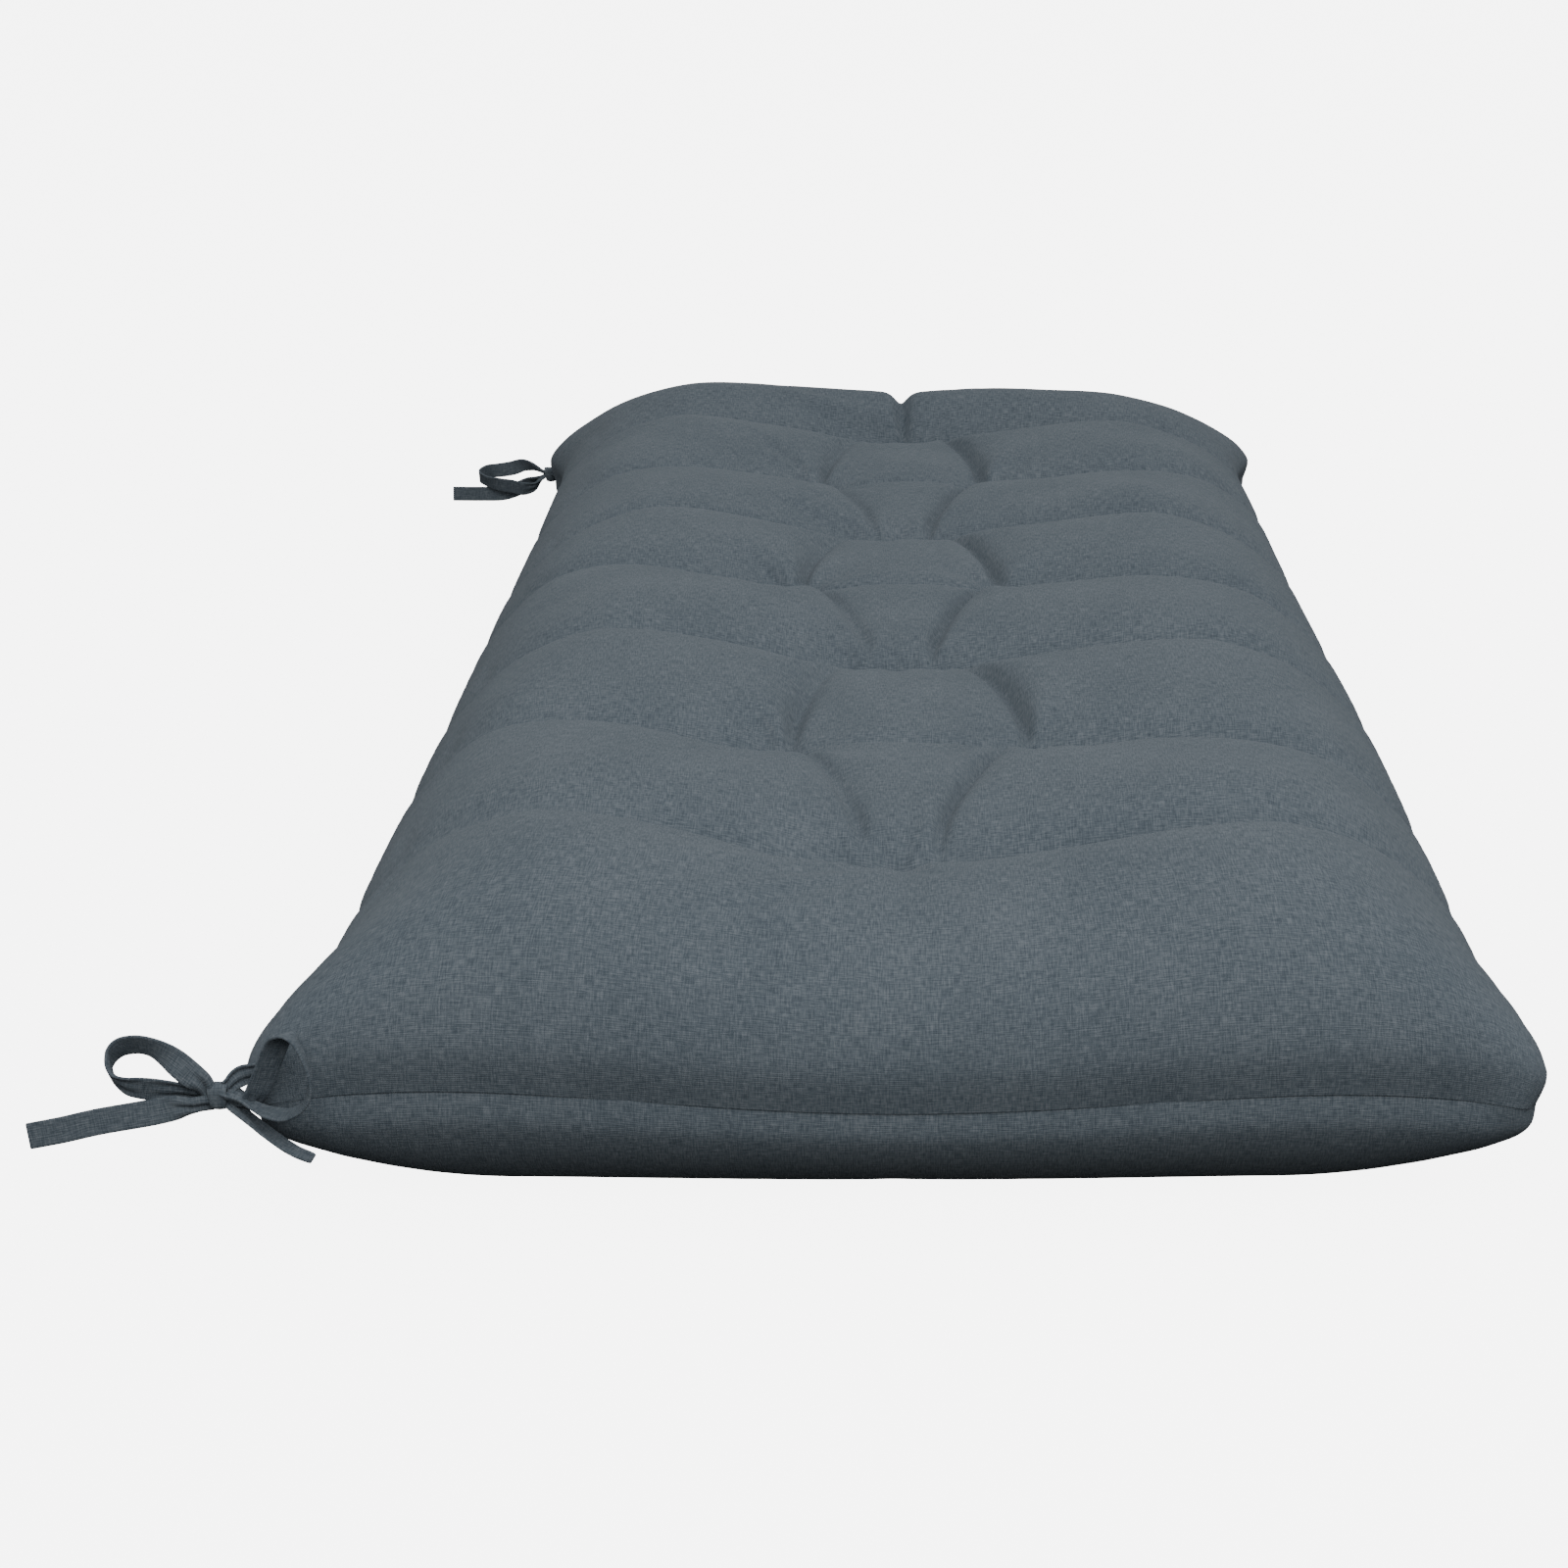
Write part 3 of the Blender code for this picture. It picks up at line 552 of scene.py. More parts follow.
# %% Push and settle
PUSH_FRAMES = 20
PUSH_PRESSURE = 5.0
PUSH_CAP = 0.007
SEAM_HELD = 0.0005
TUFT_HELD = 0.006
FOLD_HELD = 0.0035

flat_x, flat_y, upper = (kept(cushion, name) for name in ("flat_x", "flat_y", "upper"))
from_edge = np.minimum(LENGTH / 2 - np.abs(flat_x), WIDTH / 2 - np.abs(flat_y))
from_tuft = np.min([np.hypot(flat_x - x, flat_y - y) for x, y, row_kind in tufts], axis=0)
tight = [run for run in net if run["kind"] != "back channel"]
from_fold = np.min([away_from(flat_x, flat_y, run)[0] for run in tight], axis=0)


def push(piece, held):
    """Let even pressure push the cloth out for a few frames, while some points are held."""
    before = places(piece).copy()
    group = piece.vertex_groups.new(name="held")
    group.add([int(number) for number in np.flatnonzero(held)], 1.0, "REPLACE")
    pick(piece)
    filling = piece.modifiers.new("filling", "CLOTH")
    filling.settings.vertex_group_mass = group.name
    filling.settings.use_pressure = True
    filling.settings.uniform_pressure_force = PUSH_PRESSURE
    filling.settings.effector_weights.gravity = 0.0
    filling.point_cache.frame_start = 1
    filling.point_cache.frame_end = PUSH_FRAMES
    for frame_number in range(1, PUSH_FRAMES + 1):
        bpy.context.scene.frame_set(frame_number)
    bpy.ops.object.modifier_apply(modifier=filling.name)
    bpy.context.scene.frame_set(1)
    piece.vertex_groups.clear()
    move = places(piece) - before
    far = np.linalg.norm(move, axis=1, keepdims=True)
    print(f"pushed {far.mean() * 1000:.1f} mm on average, {far.max() * 1000:.1f} mm at most")
    settled = before + move * np.minimum(1.0, PUSH_CAP / np.maximum(far, 1e-9))
    settled[:, 2] = np.maximum(settled[:, 2], 0.0)
    put(piece, settled)


held_edge = (upper < 0.5) | (from_edge < SEAM_HELD)
push(cushion, held_edge | (from_tuft < TUFT_HELD) | (from_fold < FOLD_HELD))
measured(cushion)

# %% [markdown]
# ## Seam, puckers and pinches
#
# A seam pulls the cloth in along one line, and its thread gathers the cloth into small
# puckers on both sides. A tuft does the same round a point. These are finer than the push
# can make, so they are added to it: every point moves a little along its own normal.

# %% Helpers for the relief
SEAM_GROOVE = 0.0034
GROOVE_START = 0.004  # from the corner, where the thick layers fill the groove
GROOVE_BLEND = 0.030
PUCKER = {"depth": 0.00035, "length": 0.017, "reach": 0.011, "drift": 2.5, "drift_size": 0.12}
PINCH_FOLD = {"depth": 0.0008, "folds": 7, "reach": 0.016}
UNEVEN = {"depth": 0.0005, "size": 0.09, "edge": 0.05}  # the filling is never quite even
UNEVEN_WAVES = 12
RESTING = 0.0005  # points as low as this lie on the surface

rng = np.random.default_rng(7)


def outward(piece):
    """The direction of every point's normal."""
    normals = np.empty(len(piece.data.vertices) * 3)
    piece.data.vertices.foreach_get("normal", normals)
    return normals.reshape(-1, 3)


def uneven(x, y, size):
    """A gentle random surface, from about -1 to 1, with bumps about this far apart."""
    total = np.zeros_like(x)
    for number in range(UNEVEN_WAVES):
        turn, phase = rng.uniform(0, 2 * math.pi, 2)
        length = size * rng.uniform(0.7, 1.6)
        total += np.sin(2 * math.pi * (x * math.cos(turn) + y * math.sin(turn)) / length + phase)
    return total / 4.0


# %% Gather the seam, pinch the tufts and cut the groove
round_edge = np.where(LENGTH / 2 - np.abs(flat_x) < WIDTH / 2 - np.abs(flat_y), flat_y, flat_x)
drift = PUCKER["drift"] * uneven(flat_x, flat_y, PUCKER["drift_size"])
gather = np.sin(2 * math.pi * round_edge / PUCKER["length"] + drift)
change = PUCKER["depth"] * gather * np.exp(-from_edge / PUCKER["reach"])
bumps = UNEVEN["depth"] * uneven(flat_x, flat_y, UNEVEN["size"])
change = change + bumps * smooth(from_edge / UNEVEN["edge"]) * (upper > 0.5)
for number, (tuft_x, tuft_y, row_kind) in enumerate(tufts):
    away = np.hypot(flat_x - tuft_x, flat_y - tuft_y)
    turn = np.arctan2(flat_y - tuft_y, flat_x - tuft_x)
    folds = np.sin(PINCH_FOLD["folds"] * turn + number * 1.7 + 0.8 * np.sin(2 * turn + number))
    share = away / PINCH_FOLD["reach"]
    fading = share * np.exp(1 - share) * (share < 4)
    change = change + PINCH_FOLD["depth"] * folds * fading * (upper > 0.5)
from_corner = np.hypot(LENGTH / 2 - np.abs(flat_x), WIDTH / 2 - np.abs(flat_y))
groove = -SEAM_GROOVE * smooth((from_corner - GROOVE_START) / GROOVE_BLEND)
change = np.where(from_edge < SEAM_HELD, groove, change)
change = np.where(places(cushion)[:, 2] < RESTING, 0.0, change)
relieved = places(cushion) + outward(cushion) * change[:, None]
relieved[:, 2] = np.maximum(relieved[:, 2], 0.0)
put(cushion, relieved)
print(f"relief from {change.min() * 1000:.1f} to {change.max() * 1000:.1f} mm")

# %% Round the mesh, but keep the seam a sharp line
on_seam = from_edge < SEAM_HELD
ends = np.empty(len(cushion.data.edges) * 2, dtype=int)
cushion.data.edges.foreach_get("vertices", ends)
crease_edges = cushion.data.attributes.new("crease_edge", "FLOAT", "EDGE")
crease_edges.data.foreach_set("value", on_seam[ends].reshape(-1, 2).all(axis=1).astype(np.float32))

rounder = cushion.modifiers.new("rounder", "SUBSURF")
rounder.levels = rounder.render_levels = 1
pick(cushion)
bpy.ops.object.modifier_apply(modifier=rounder.name)
for name in ("flat_x", "flat_y", "upper", "crease_edge"):
    cushion.data.attributes.remove(cushion.data.attributes[name])
measured(cushion)

# %% [markdown]
# ## The ribbon ties
#
# Two ribbons are caught in the seam at each back corner and tied in a bow, so each of them
# goes from the seam to the knot, out round a loop, back to the knot and out again as a free
# end. A ribbon could be a curve with a flat bevel, but that twists where it likes. Here
# every run of it is a strip of grid laid along listed points, and each point also says
# which way the ribbon's width lies, because that is what gives a bow its look: one side of
# a loop shows its face and the other its back.

# %% Places of the bows
MM = 0.001
RIBBON_WIDTH = 0.010
RIBBON_THICKNESS = 0.0012
LOCAL_AXES = np.array([[0.0, 1.0, 0.0], [0.0, 0.0, 1.0], [-1.0, 0.0, 0.0]])  # out, up, fore

# Rows of a run. Place: millimetres out from the back edge (+Y), up, and fore towards the
# near end (-X), all from the middle of the knot. Then the direction of the ribbon's width
# in the same axes, and its width as a share of the full one.
# (out, up, fore, width out, width up, width fore, share)
BOWS = {
    "near": {
        "knot": (-0.5640, 0.2477, 0.0527),
        "runs": {
            "loop_out": (
                (4.3, 3.7, 1.0, -0.3, 0.8, 0.2, 0.7),
                (5.9, 6.4, 2.0, -0.5, 0.8, -0.1, 0.85),
                (9.3, 9.0, 2.5, -0.6, 0.75, -0.3, 1.0),
                (13.5, 12.6, 2.0, -0.6, 0.75, -0.3, 1.0),
                (18.4, 15.6, 0.0, -0.45, 0.85, 0.1, 1.0),
                (24.2, 17.9, -2.0, -0.2, 0.9, 0.4, 1.0),
                (30.4, 18.3, -4.0, 0.0, 0.88, 0.47, 1.0),
                (36.6, 16.7, -5.0, 0.1, 0.85, 0.5, 1.0),
                (40.3, 13.4, -3.5, 0.1, 0.75, 0.65, 1.0),
                (40.8, 10.5, 0.0, 0.0, 0.68, 0.72, 0.9),
                (38.3, 7.1, 3.0, 0.0, 0.72, 0.68, 0.9),
                (32.9, 5.2, 5.0, 0.0, 0.9, 0.4, 0.95),
                (26.1, 4.5, 5.0, 0.0, 0.95, 0.25, 1.0),
                (19.2, 3.1, 3.5, 0.0, 0.93, 0.3, 0.95),
                (13.6, 1.6, 1.2, 0.0, 0.85, 0.5, 0.85),
                (8.6, 0.0, -0.4, 0.0, 0.85, 0.5, 0.8),
                (4.3, -0.3, -1.2, 0.0, 0.7, 0.7, 0.7),
            ),
            "tail_out": (
                (4.3, -2.6, 0.5, 0.0, 0.85, 0.5, 0.8),
                (7.0, -2.6, 1.4, 0.0, 0.9, 0.4, 0.75),
                (10.1, -3.0, 2.4, 0.0, 0.95, 0.3, 0.75),
                (13.1, -3.1, 3.4, 0.0, 1.0, 0.0, 0.85),
                (17.3, -3.6, 4.2, 0.0, 0.98, -0.2, 1.0),
                (25.9, -5.1, 5.4, 0.0, 0.96, -0.28, 1.0),
                (43.7, -8.2, 6.0, 0.0, 0.96, -0.28, 1.0),
                (57.9, -11.8, 5.5, 0.0, 0.97, -0.26, 1.0),
                (71.3, -15.1, 4.0, 0.0, 0.97, -0.24, 1.0),
            ),
            "loop_in": (
                (-4.3, -2.0, 0.0, 0.0, 0.2, 1.0, 0.6),
                (-8.1, -3.7, 0.8, 0.2, 0.3, 0.95, 0.7),
                (-11.7, -3.2, 2.0, 0.5, 0.35, 0.8, 0.85),
                (-14.8, 2.5, 3.6, 0.72, 0.4, 0.55, 1.0),
                (-18.9, 11.3, 5.0, 0.75, 0.4, 0.5, 1.0),
                (-23.8, 22.4, 6.8, 0.72, 0.38, 0.55, 1.0),
                (-27.4, 27.5, 9.0, 0.4, 0.15, 0.9, 1.0),
                (-31.0, 26.2, 11.5, -0.15, 0.0, 0.98, 1.0),
                (-34.2, 21.1, 13.0, -0.15, 0.0, 0.98, 1.0),
                (-36.3, 13.3, 13.5, -0.2, 0.0, 0.98, 1.0),
                (-36.2, 6.7, 13.5, -0.2, 0.0, 0.98, 1.0),
                (-33.1, 0.7, 13.0, -0.1, 0.05, 1.0, 1.0),
                (-27.2, -2.8, 11.5, 0.0, -0.05, 1.0, 1.0),
                (-20.2, -2.9, 9.0, 0.0, -0.05, 1.0, 1.0),
                (-14.1, -0.9, 6.5, 0.0, 0.1, 1.0, 0.9),
                (-9.1, 1.3, 4.4, 0.0, 0.1, 1.0, 0.75),
                (-4.3, 2.0, 2.4, 0.0, 0.0, 1.0, 0.6),
            ),
            "tail_in": (
                (-4.3, -4.3, 0.5, 0.0, 0.0, 1.0, 0.6),
                (-10.0, -6.5, 4.0, 0.0, 0.0, 1.0, 0.9),
                (-17.3, -11.5, 5.8, 0.0, 0.0, 1.0, 1.0),
                (-24.6, -16.4, 7.5, 0.0, 0.0, 1.0, 1.0),
                (-30.1, -19.7, 8.5, 0.0, 0.0, 1.0, 0.9),
                (-35.1, -22.4, 9.0, 0.1, -0.05, 1.0, 0.45),
            ),
            "root_upper": (
                (-4.4, 3.5, -1.4, 0.2, 0.95, 0.2, 0.7),
                (-5.7, 4.6, -3.0, 0.25, 0.95, 0.15, 0.8),
                (-8.0, 5.6, -4.8, 0.2, 0.97, 0.1, 0.85),
                (-11.3, 5.8, -6.4, 0.0, 0.97, 0.2, 0.85),
            ),
            "root_lower": (
                (-4.4, -1.2, -4.3, -0.4, 0.0, 0.9, 0.4),
                (-7.4, -4.0, -5.6, -0.3, 0.0, 0.95, 0.6),
                (-10.6, -7.2, -5.9, -0.4, 0.0, 0.9, 0.8),
                (-14.0, -9.2, -6.3, -0.6, 0.0, 0.8, 0.95),
            ),
        },
    },
    "far": {
        "knot": (0.5640, 0.2418, 0.0472),
        "runs": {
            "loop_out": (
                (4.3, 3.0, 0.0, 0.0, 0.17, 0.98, 0.6),
                (7.8, 4.2, -0.5, 0.0, 0.50, 0.87, 0.8),
                (13.5, 5.6, -1.5, 0.0, 0.77, 0.64, 1.0),
                (19.8, 5.8, -3.0, 0.0, 0.94, 0.34, 1.0),
                (27.1, 3.3, -5.0, 0.0, 1.0, -0.05, 1.0),
                (36.9, 1.6, -6.0, 0.0, 1.0, 0.0, 1.0),
                (45.0, 1.2, -5.0, 0.0, 0.95, 0.3, 1.0),
                (49.4, -1.0, 0.0, 0.0, 0.90, 0.4, 1.0),
                (44.5, -3.5, 5.0, 0.0, 0.87, 0.5, 1.0),
                (35.6, -5.6, 7.0, 0.0, 0.97, 0.26, 1.0),
                (27.0, -7.0, 7.0, 0.0, 0.98, 0.17, 1.0),
                (18.4, -9.0, 6.4, 0.0, 0.97, 0.26, 1.0),
                (10.8, -8.2, 4.6, 0.0, 0.77, 0.64, 0.9),
                (7.0, -5.2, 2.4, 0.0, 0.34, 0.94, 0.7),
                (4.3, -3.0, 1.0, 0.0, 0.0, 1.0, 0.6),
            ),
            "tail_out": (
                (4.3, 0.0, -1.0, 0.0, 0.0, 1.0, 0.6),
                (8.4, -2.0, -2.5, 0.0, 0.34, 0.94, 0.8),
                (13.6, -5.2, -3.5, 0.0, 0.77, 0.64, 1.0),
                (18.9, -8.6, -3.5, 0.0, 0.98, 0.17, 1.0),
                (25.9, -11.8, -2.0, 0.0, 0.99, -0.14, 1.0),
                (34.7, -13.6, 0.0, 0.0, 0.98, -0.17, 1.0),
                (48.7, -13.6, 1.0, 0.0, 0.98, -0.17, 1.0),
                (68.3, -13.2, 2.0, 0.0, 0.99, -0.14, 1.0),
            ),
            "loop_in": (
                (-4.3, -0.2, -1.0, 0.0, 0.0, 1.0, 0.6),
                (-9.0, 0.0, -5.0, -0.6, 0.0, 0.8, 0.8),
                (-15.0, 4.0, -9.0, -0.5, 0.0, 0.87, 1.0),
                (-22.0, 12.0, -11.0, -0.4, 0.0, 0.9, 1.0),
                (-29.0, 17.0, -12.0, -0.3, 0.0, 0.95, 1.0),
                (-35.0, 13.5, -11.5, -0.3, 0.0, 0.95, 1.0),
                (-36.5, 6.0, -10.5, -0.4, 0.0, 0.9, 1.0),
                (-31.0, -1.0, -10.0, -0.3, 0.0, 0.95, 1.0),
                (-22.0, -4.2, -9.0, -0.2, 0.0, 1.0, 1.0),
                (-12.0, -4.2, -5.8, -0.4, 0.0, 0.9, 0.9),
                (-4.3, -2.1, -1.0, 0.0, 0.0, 1.0, 0.6),
            ),
            "tail_in": (
                (-4.3, -4.0, -0.8, 0.0, 0.0, 1.0, 0.6),
                (-9.0, -7.8, -4.0, -0.3, 0.0, 1.0, 0.9),
                (-15.0, -12.8, -7.5, -0.2, 0.0, 1.0, 1.0),
                (-22.0, -18.6, -9.5, -0.1, 0.0, 1.0, 1.0),
                (-30.0, -24.6, -10.5, 0.0, 0.0, 1.0, 1.0),
            ),
            "root_upper": (
                (-4.1, 1.5, 4.0, 0.6, 0.0, 0.8, 0.4),
                (-6.3, 0.8, 5.3, 0.6, 0.0, 0.8, 0.7),
                (-8.6, -0.4, 6.8, 0.7, 0.0, 0.7, 0.95),
            ),
            "root_lower": (
                (-4.1, -0.5, 4.0, 0.6, 0.0, 0.8, 0.4),
                (-6.3, -1.2, 5.3, 0.6, 0.0, 0.8, 0.7),
                (-8.6, -2.1, 6.8, 0.7, 0.0, 0.7, 0.95),
            ),
        },
    },
}

RIBBONS = {
    "outer": ("root_upper", "loop_out", "tail_out"),
    "inner": ("root_lower", "loop_in", "tail_in"),
}
print("runs of ribbon:", sum(len(bow["runs"]) for bow in BOWS.values()))

# %% Lay one run of ribbon
RIBBON_STEP = 0.0010
RIBBON_CELLS = 8  # across the width
INTO_KNOT = 2.6  # millimetres, as in the table
INTO_SEAM = 5.0
NARROWEST = 0.4
RIDGE = 0.42  # height of the fold of a narrowed ribbon, as a share of its width


def reach(row, following, by):
    """One more row, straight on past the end of a run, so that it goes into what holds it."""
    ahead = (row[:3] - following[:3]) / math.dist(row[:3], following[:3])
    more = row.copy()
    more[:3] = row[:3] + ahead * by
    return more


def into_what_holds(rows, run):
    """The rows of a run, carried on into the knot and, for a root, into the seam."""
    rows = np.array(rows)
    first, last = rows[0], rows[-1]
    longer = [reach(first, rows[1], INTO_KNOT), *rows]
    if run.startswith("loop"):
        longer.append(reach(last, rows[-2], INTO_KNOT))
    if run.startswith("root"):
        longer.append(reach(last, rows[-2], INTO_SEAM))
    return np.array(longer)


def curve_through(rows):
    """Samples of a smooth curve through the rows, and its directions, every RIBBON_STEP."""
    ends = [2 * rows[0] - rows[1], *rows, 2 * rows[-1] - rows[-2]]
    samples, directions = [], []
    for before, start, end, after in zip(ends, ends[1:], ends[2:], ends[3:], strict=False):
        steps = max(2, round(math.dist(start[:3], end[:3]) * MM / RIBBON_STEP))
        slope, bend = end - before, 2 * before - 5 * start + 4 * end - after
        twist = 3 * start - before - 3 * end + after
        for t in np.arange(steps) / steps:
            samples.append(0.5 * (2 * start + slope * t + bend * t**2 + twist * t**3))
            directions.append(slope + 2 * bend * t + 3 * twist * t**2)
    samples.append(rows[-1])
    directions.append(rows[-1] - rows[-2])
    return np.array(samples), np.array(directions)


def unit(vectors):
    """The same directions, one long."""
    return vectors / np.linalg.norm(vectors, axis=-1, keepdims=True)


def ribbon_places(knot, rows):
    """A place for every line across the ribbon and every line along it."""
    samples, directions = curve_through(rows)
    tangent = unit(directions[:, :3] @ LOCAL_AXES)
    width = samples[:, 3:6] @ LOCAL_AXES
    across = unit(width - tangent * (width * tangent).sum(1, keepdims=True))
    face = np.cross(tangent, across)
    centre = np.array(knot) + MM * (samples[:, :3] @ LOCAL_AXES)
    share = np.clip(samples[:, 6], NARROWEST, 1.0)
    side = np.linspace(-0.5, 0.5, RIBBON_CELLS + 1)
    # Where the ribbon is narrowed it is really folded, so its middle is lifted in a ridge.
    ridge = RIDGE * RIBBON_WIDTH * np.sqrt(1.0 - share**2)
    lift = ridge[:, None] * 0.5 * (np.cos(4 * math.pi * side) - 1.0) * (1 - np.abs(side))
    sideways = across[:, None] * (RIBBON_WIDTH * share[:, None] * side)[..., None]
    return centre[:, None] + sideways + face[:, None] * lift[..., None]


def lay_run(name, knot, rows):
    """One run of ribbon as a strip of grid, and its length."""
    shape = ribbon_places(knot, rows)
    lines, sides = shape.shape[:2]
    bpy.ops.object.select_all(action="DESELECT")
    bpy.ops.mesh.primitive_grid_add(x_subdivisions=lines - 1, y_subdivisions=sides - 1, size=1)
    strip = bpy.context.object
    strip.name = name
    i, j = grid_numbers(strip, lines, sides)
    put(strip, shape[i, j])
    middle = shape[:, sides // 2]
    along = np.concatenate([[0.0], np.cumsum(np.linalg.norm(np.diff(middle, axis=0), axis=1))])
    write_flat_places(strip, along[i], RIBBON_WIDTH * (j / (sides - 1) - 0.5))
    return strip, float(along[-1])


# %% Tie both bows
SHARP_ANGLE = math.radians(60)


def thicken(piece, offset):
    """Give a thin piece the thickness of a folded tape, with soft edges."""
    pick(piece)
    wall = piece.modifiers.new("thickness", "SOLIDIFY")
    wall.thickness = RIBBON_THICKNESS
    wall.offset = offset
    bpy.ops.object.modifier_apply(modifier=wall.name)
    soft_edges = piece.modifiers.new("soft edges", "SUBSURF")
    soft_edges.levels = soft_edges.render_levels = 1
    bpy.ops.object.modifier_apply(modifier=soft_edges.name)
    bpy.ops.object.shade_smooth_by_angle(angle=SHARP_ANGLE)


ribbons = {}
for corner, bow in BOWS.items():
    for which, runs in RIBBONS.items():
        strips, cut_length = [], 0.0
        for run in runs:
            rows = into_what_holds(bow["runs"][run], run)
            strip, length = lay_run(f"{corner}_{run}_strip", bow["knot"], rows)
            strips.append(strip)
            cut_length += length
        pick(strips[0])
        for strip in strips[1:]:
            strip.select_set(True)
        bpy.ops.object.join()
        ribbon = bpy.context.object
        ribbon.name = f"{corner}_{which}_ribbon"
        thicken(ribbon, 0.0)
        ribbons[corner, which] = (ribbon, cut_length)
        measured(ribbon)
        print(f"  cut length {cut_length * 1000:.0f} mm")

# %% [markdown]
# ## The knots
#
# The knot of a bow is the ribbon itself, pulled once round the middle. It is modelled as
# that: a short sleeve that goes round everything which passes through it. It starts as an
# open cylinder lying along the bow, is cut into rings, and is then pressed into a rounded
# box, wider at the top where the ribbon comes over and pinched in at its two edges.

# %% Wrap a knot
KNOT_SIZE = {"across": 0.0084, "out": 0.0080, "up": 0.0100}
KNOT_SIDES = 32
KNOT_RINGS = 8
KNOT_POWER = 3.0
KNOT_SLANT = 0.10  # the band crosses the bow a little askew
KNOT_PINCH = 0.10  # and its two edges are pinched in
KNOT_RIPPLE = 0.03
KNOT_TAPER = 0.14
KNOT_SLEEVE = 0.88  # of the knot's length, before the taper
KNOT_CLOTH = {"around": 0.030, "half": 0.004}  # the flat size of the band


def wrap_knot(name, middle):
    """A sleeve of ribbon round the middle of a bow."""
    bpy.ops.object.select_all(action="DESELECT")
    bpy.ops.mesh.primitive_cylinder_add(
        vertices=KNOT_SIDES,
        radius=0.5,
        depth=1.0,
        end_fill_type="NOTHING",
        rotation=(math.pi / 2, 0, 0),
    )
    band = bpy.context.object
    band.name = name
    pick(band)
    bpy.ops.object.transform_apply(location=False, rotation=True, scale=False)
    bpy.ops.object.mode_set(mode="EDIT")
    for number in range(1, KNOT_RINGS):
        bpy.ops.mesh.select_all(action="SELECT")
        at = -0.5 + number / KNOT_RINGS
        bpy.ops.mesh.bisect(plane_co=(0, at, 0), plane_no=(0, 1, 0))
    bpy.ops.object.mode_set(mode="OBJECT")
    points = places(band)
    angle = np.arctan2(points[:, 2], points[:, 0])
    along = 2 * points[:, 1]
    cosine, sine = np.cos(angle), np.sin(angle)
    box = (np.abs(cosine) ** KNOT_POWER + np.abs(sine) ** KNOT_POWER) ** (-1 / KNOT_POWER)
    pinched = 1.0 - KNOT_PINCH * np.abs(along) ** 3 + KNOT_RIPPLE * np.cos(3 * angle + 2 * along)
    outwards = along * (1.0 + KNOT_TAPER * box * sine) + KNOT_SLANT * sine
    rounded = np.stack([box * cosine * pinched, outwards, box * sine * pinched], 1)
    half = np.array([KNOT_SIZE["across"], KNOT_SIZE["out"] * KNOT_SLEEVE, KNOT_SIZE["up"]]) / 2
    put(band, np.array(middle) + rounded * half)
    around = angle / (2 * math.pi) * KNOT_CLOTH["around"]
    write_flat_places(band, around, along * KNOT_CLOTH["half"])
    pick(band)
    bpy.ops.object.mode_set(mode="EDIT")
    bpy.ops.mesh.select_all(action="SELECT")
    bpy.ops.mesh.normals_make_consistent(inside=False)
    bpy.ops.object.mode_set(mode="OBJECT")
    thicken(band, -1.0)
    measured(band)
    return band


knots = {corner: wrap_knot(f"{corner}_bow_knot", bow["knot"]) for corner, bow in BOWS.items()}

# %% [markdown]
# ## The linen-look cloth
#
# The cloth is a plain weave whose threads are spun from lighter and darker fibre, so short
# pale and dark streaks run along and across it. A picture could carry that. Here it is made
# from noise instead, stretched one way for the warp and the other way for the weft, and it
# reads the UV map, which holds each point's place in the flat cloth in metres. So a thread
# keeps its true width everywhere, and the weave turns with the cloth.

# %% Threads of the cloth
THREAD = 0.00085  # from one thread to the next
STREAK_LENGTH = 0.0050
STREAK_WIDTH = 0.00055
CLOUD_SIZE = 0.05
CLOUD_SHARE = 0.10  # of the tone is a soft cloudiness
THREAD_RELIEF = 0.00035
DARK = (0.088, 0.114, 0.139, 1.0)
MIDDLE = (0.137, 0.167, 0.195, 1.0)
PALE = (0.221, 0.252, 0.282, 1.0)
DARK_AT, MIDDLE_AT, PALE_AT = 0.36, 0.49, 0.66  # the tones that get these colours


def add_node(tree, kind, **values):
    """A new node with these settings."""
    node = tree.nodes.new(kind)
    for name, value in values.items():
        setattr(node, name, value)
    return node


def streaks(tree, place, across, along, turned, seed):
    """Noise drawn out along one set of threads, from 0 to 1."""
    scale = (1 / along, 1 / across, 1.0) if not turned else (1 / across, 1 / along, 1.0)
    stretch = add_node(tree, "ShaderNodeMapping", vector_type="POINT")
    stretch.inputs["Scale"].default_value = scale
    stretch.inputs["Location"].default_value = (seed, seed * 1.7, seed)
    noise = add_node(tree, "ShaderNodeTexNoise", noise_dimensions="2D")
    noise.inputs["Scale"].default_value = 1.0
    noise.inputs["Detail"].default_value = 2.0
    noise.inputs["Roughness"].default_value = 0.6
    tree.links.new(place, stretch.inputs["Vector"])
    tree.links.new(stretch.outputs["Vector"], noise.inputs["Vector"])
    return noise.outputs["Fac"]


def sum_of(tree, first, second, share=0.5):
    """The first value, with this share of the second in its stead."""
    mix = add_node(tree, "ShaderNodeMix", data_type="FLOAT")
    mix.inputs["Factor"].default_value = share
    tree.links.new(first, mix.inputs["A"])
    tree.links.new(second, mix.inputs["B"])
    return mix.outputs["Result"]


BANDS_IN_TURN = 20  # at a scale of 1 the wave texture makes this many bands in 2 pi


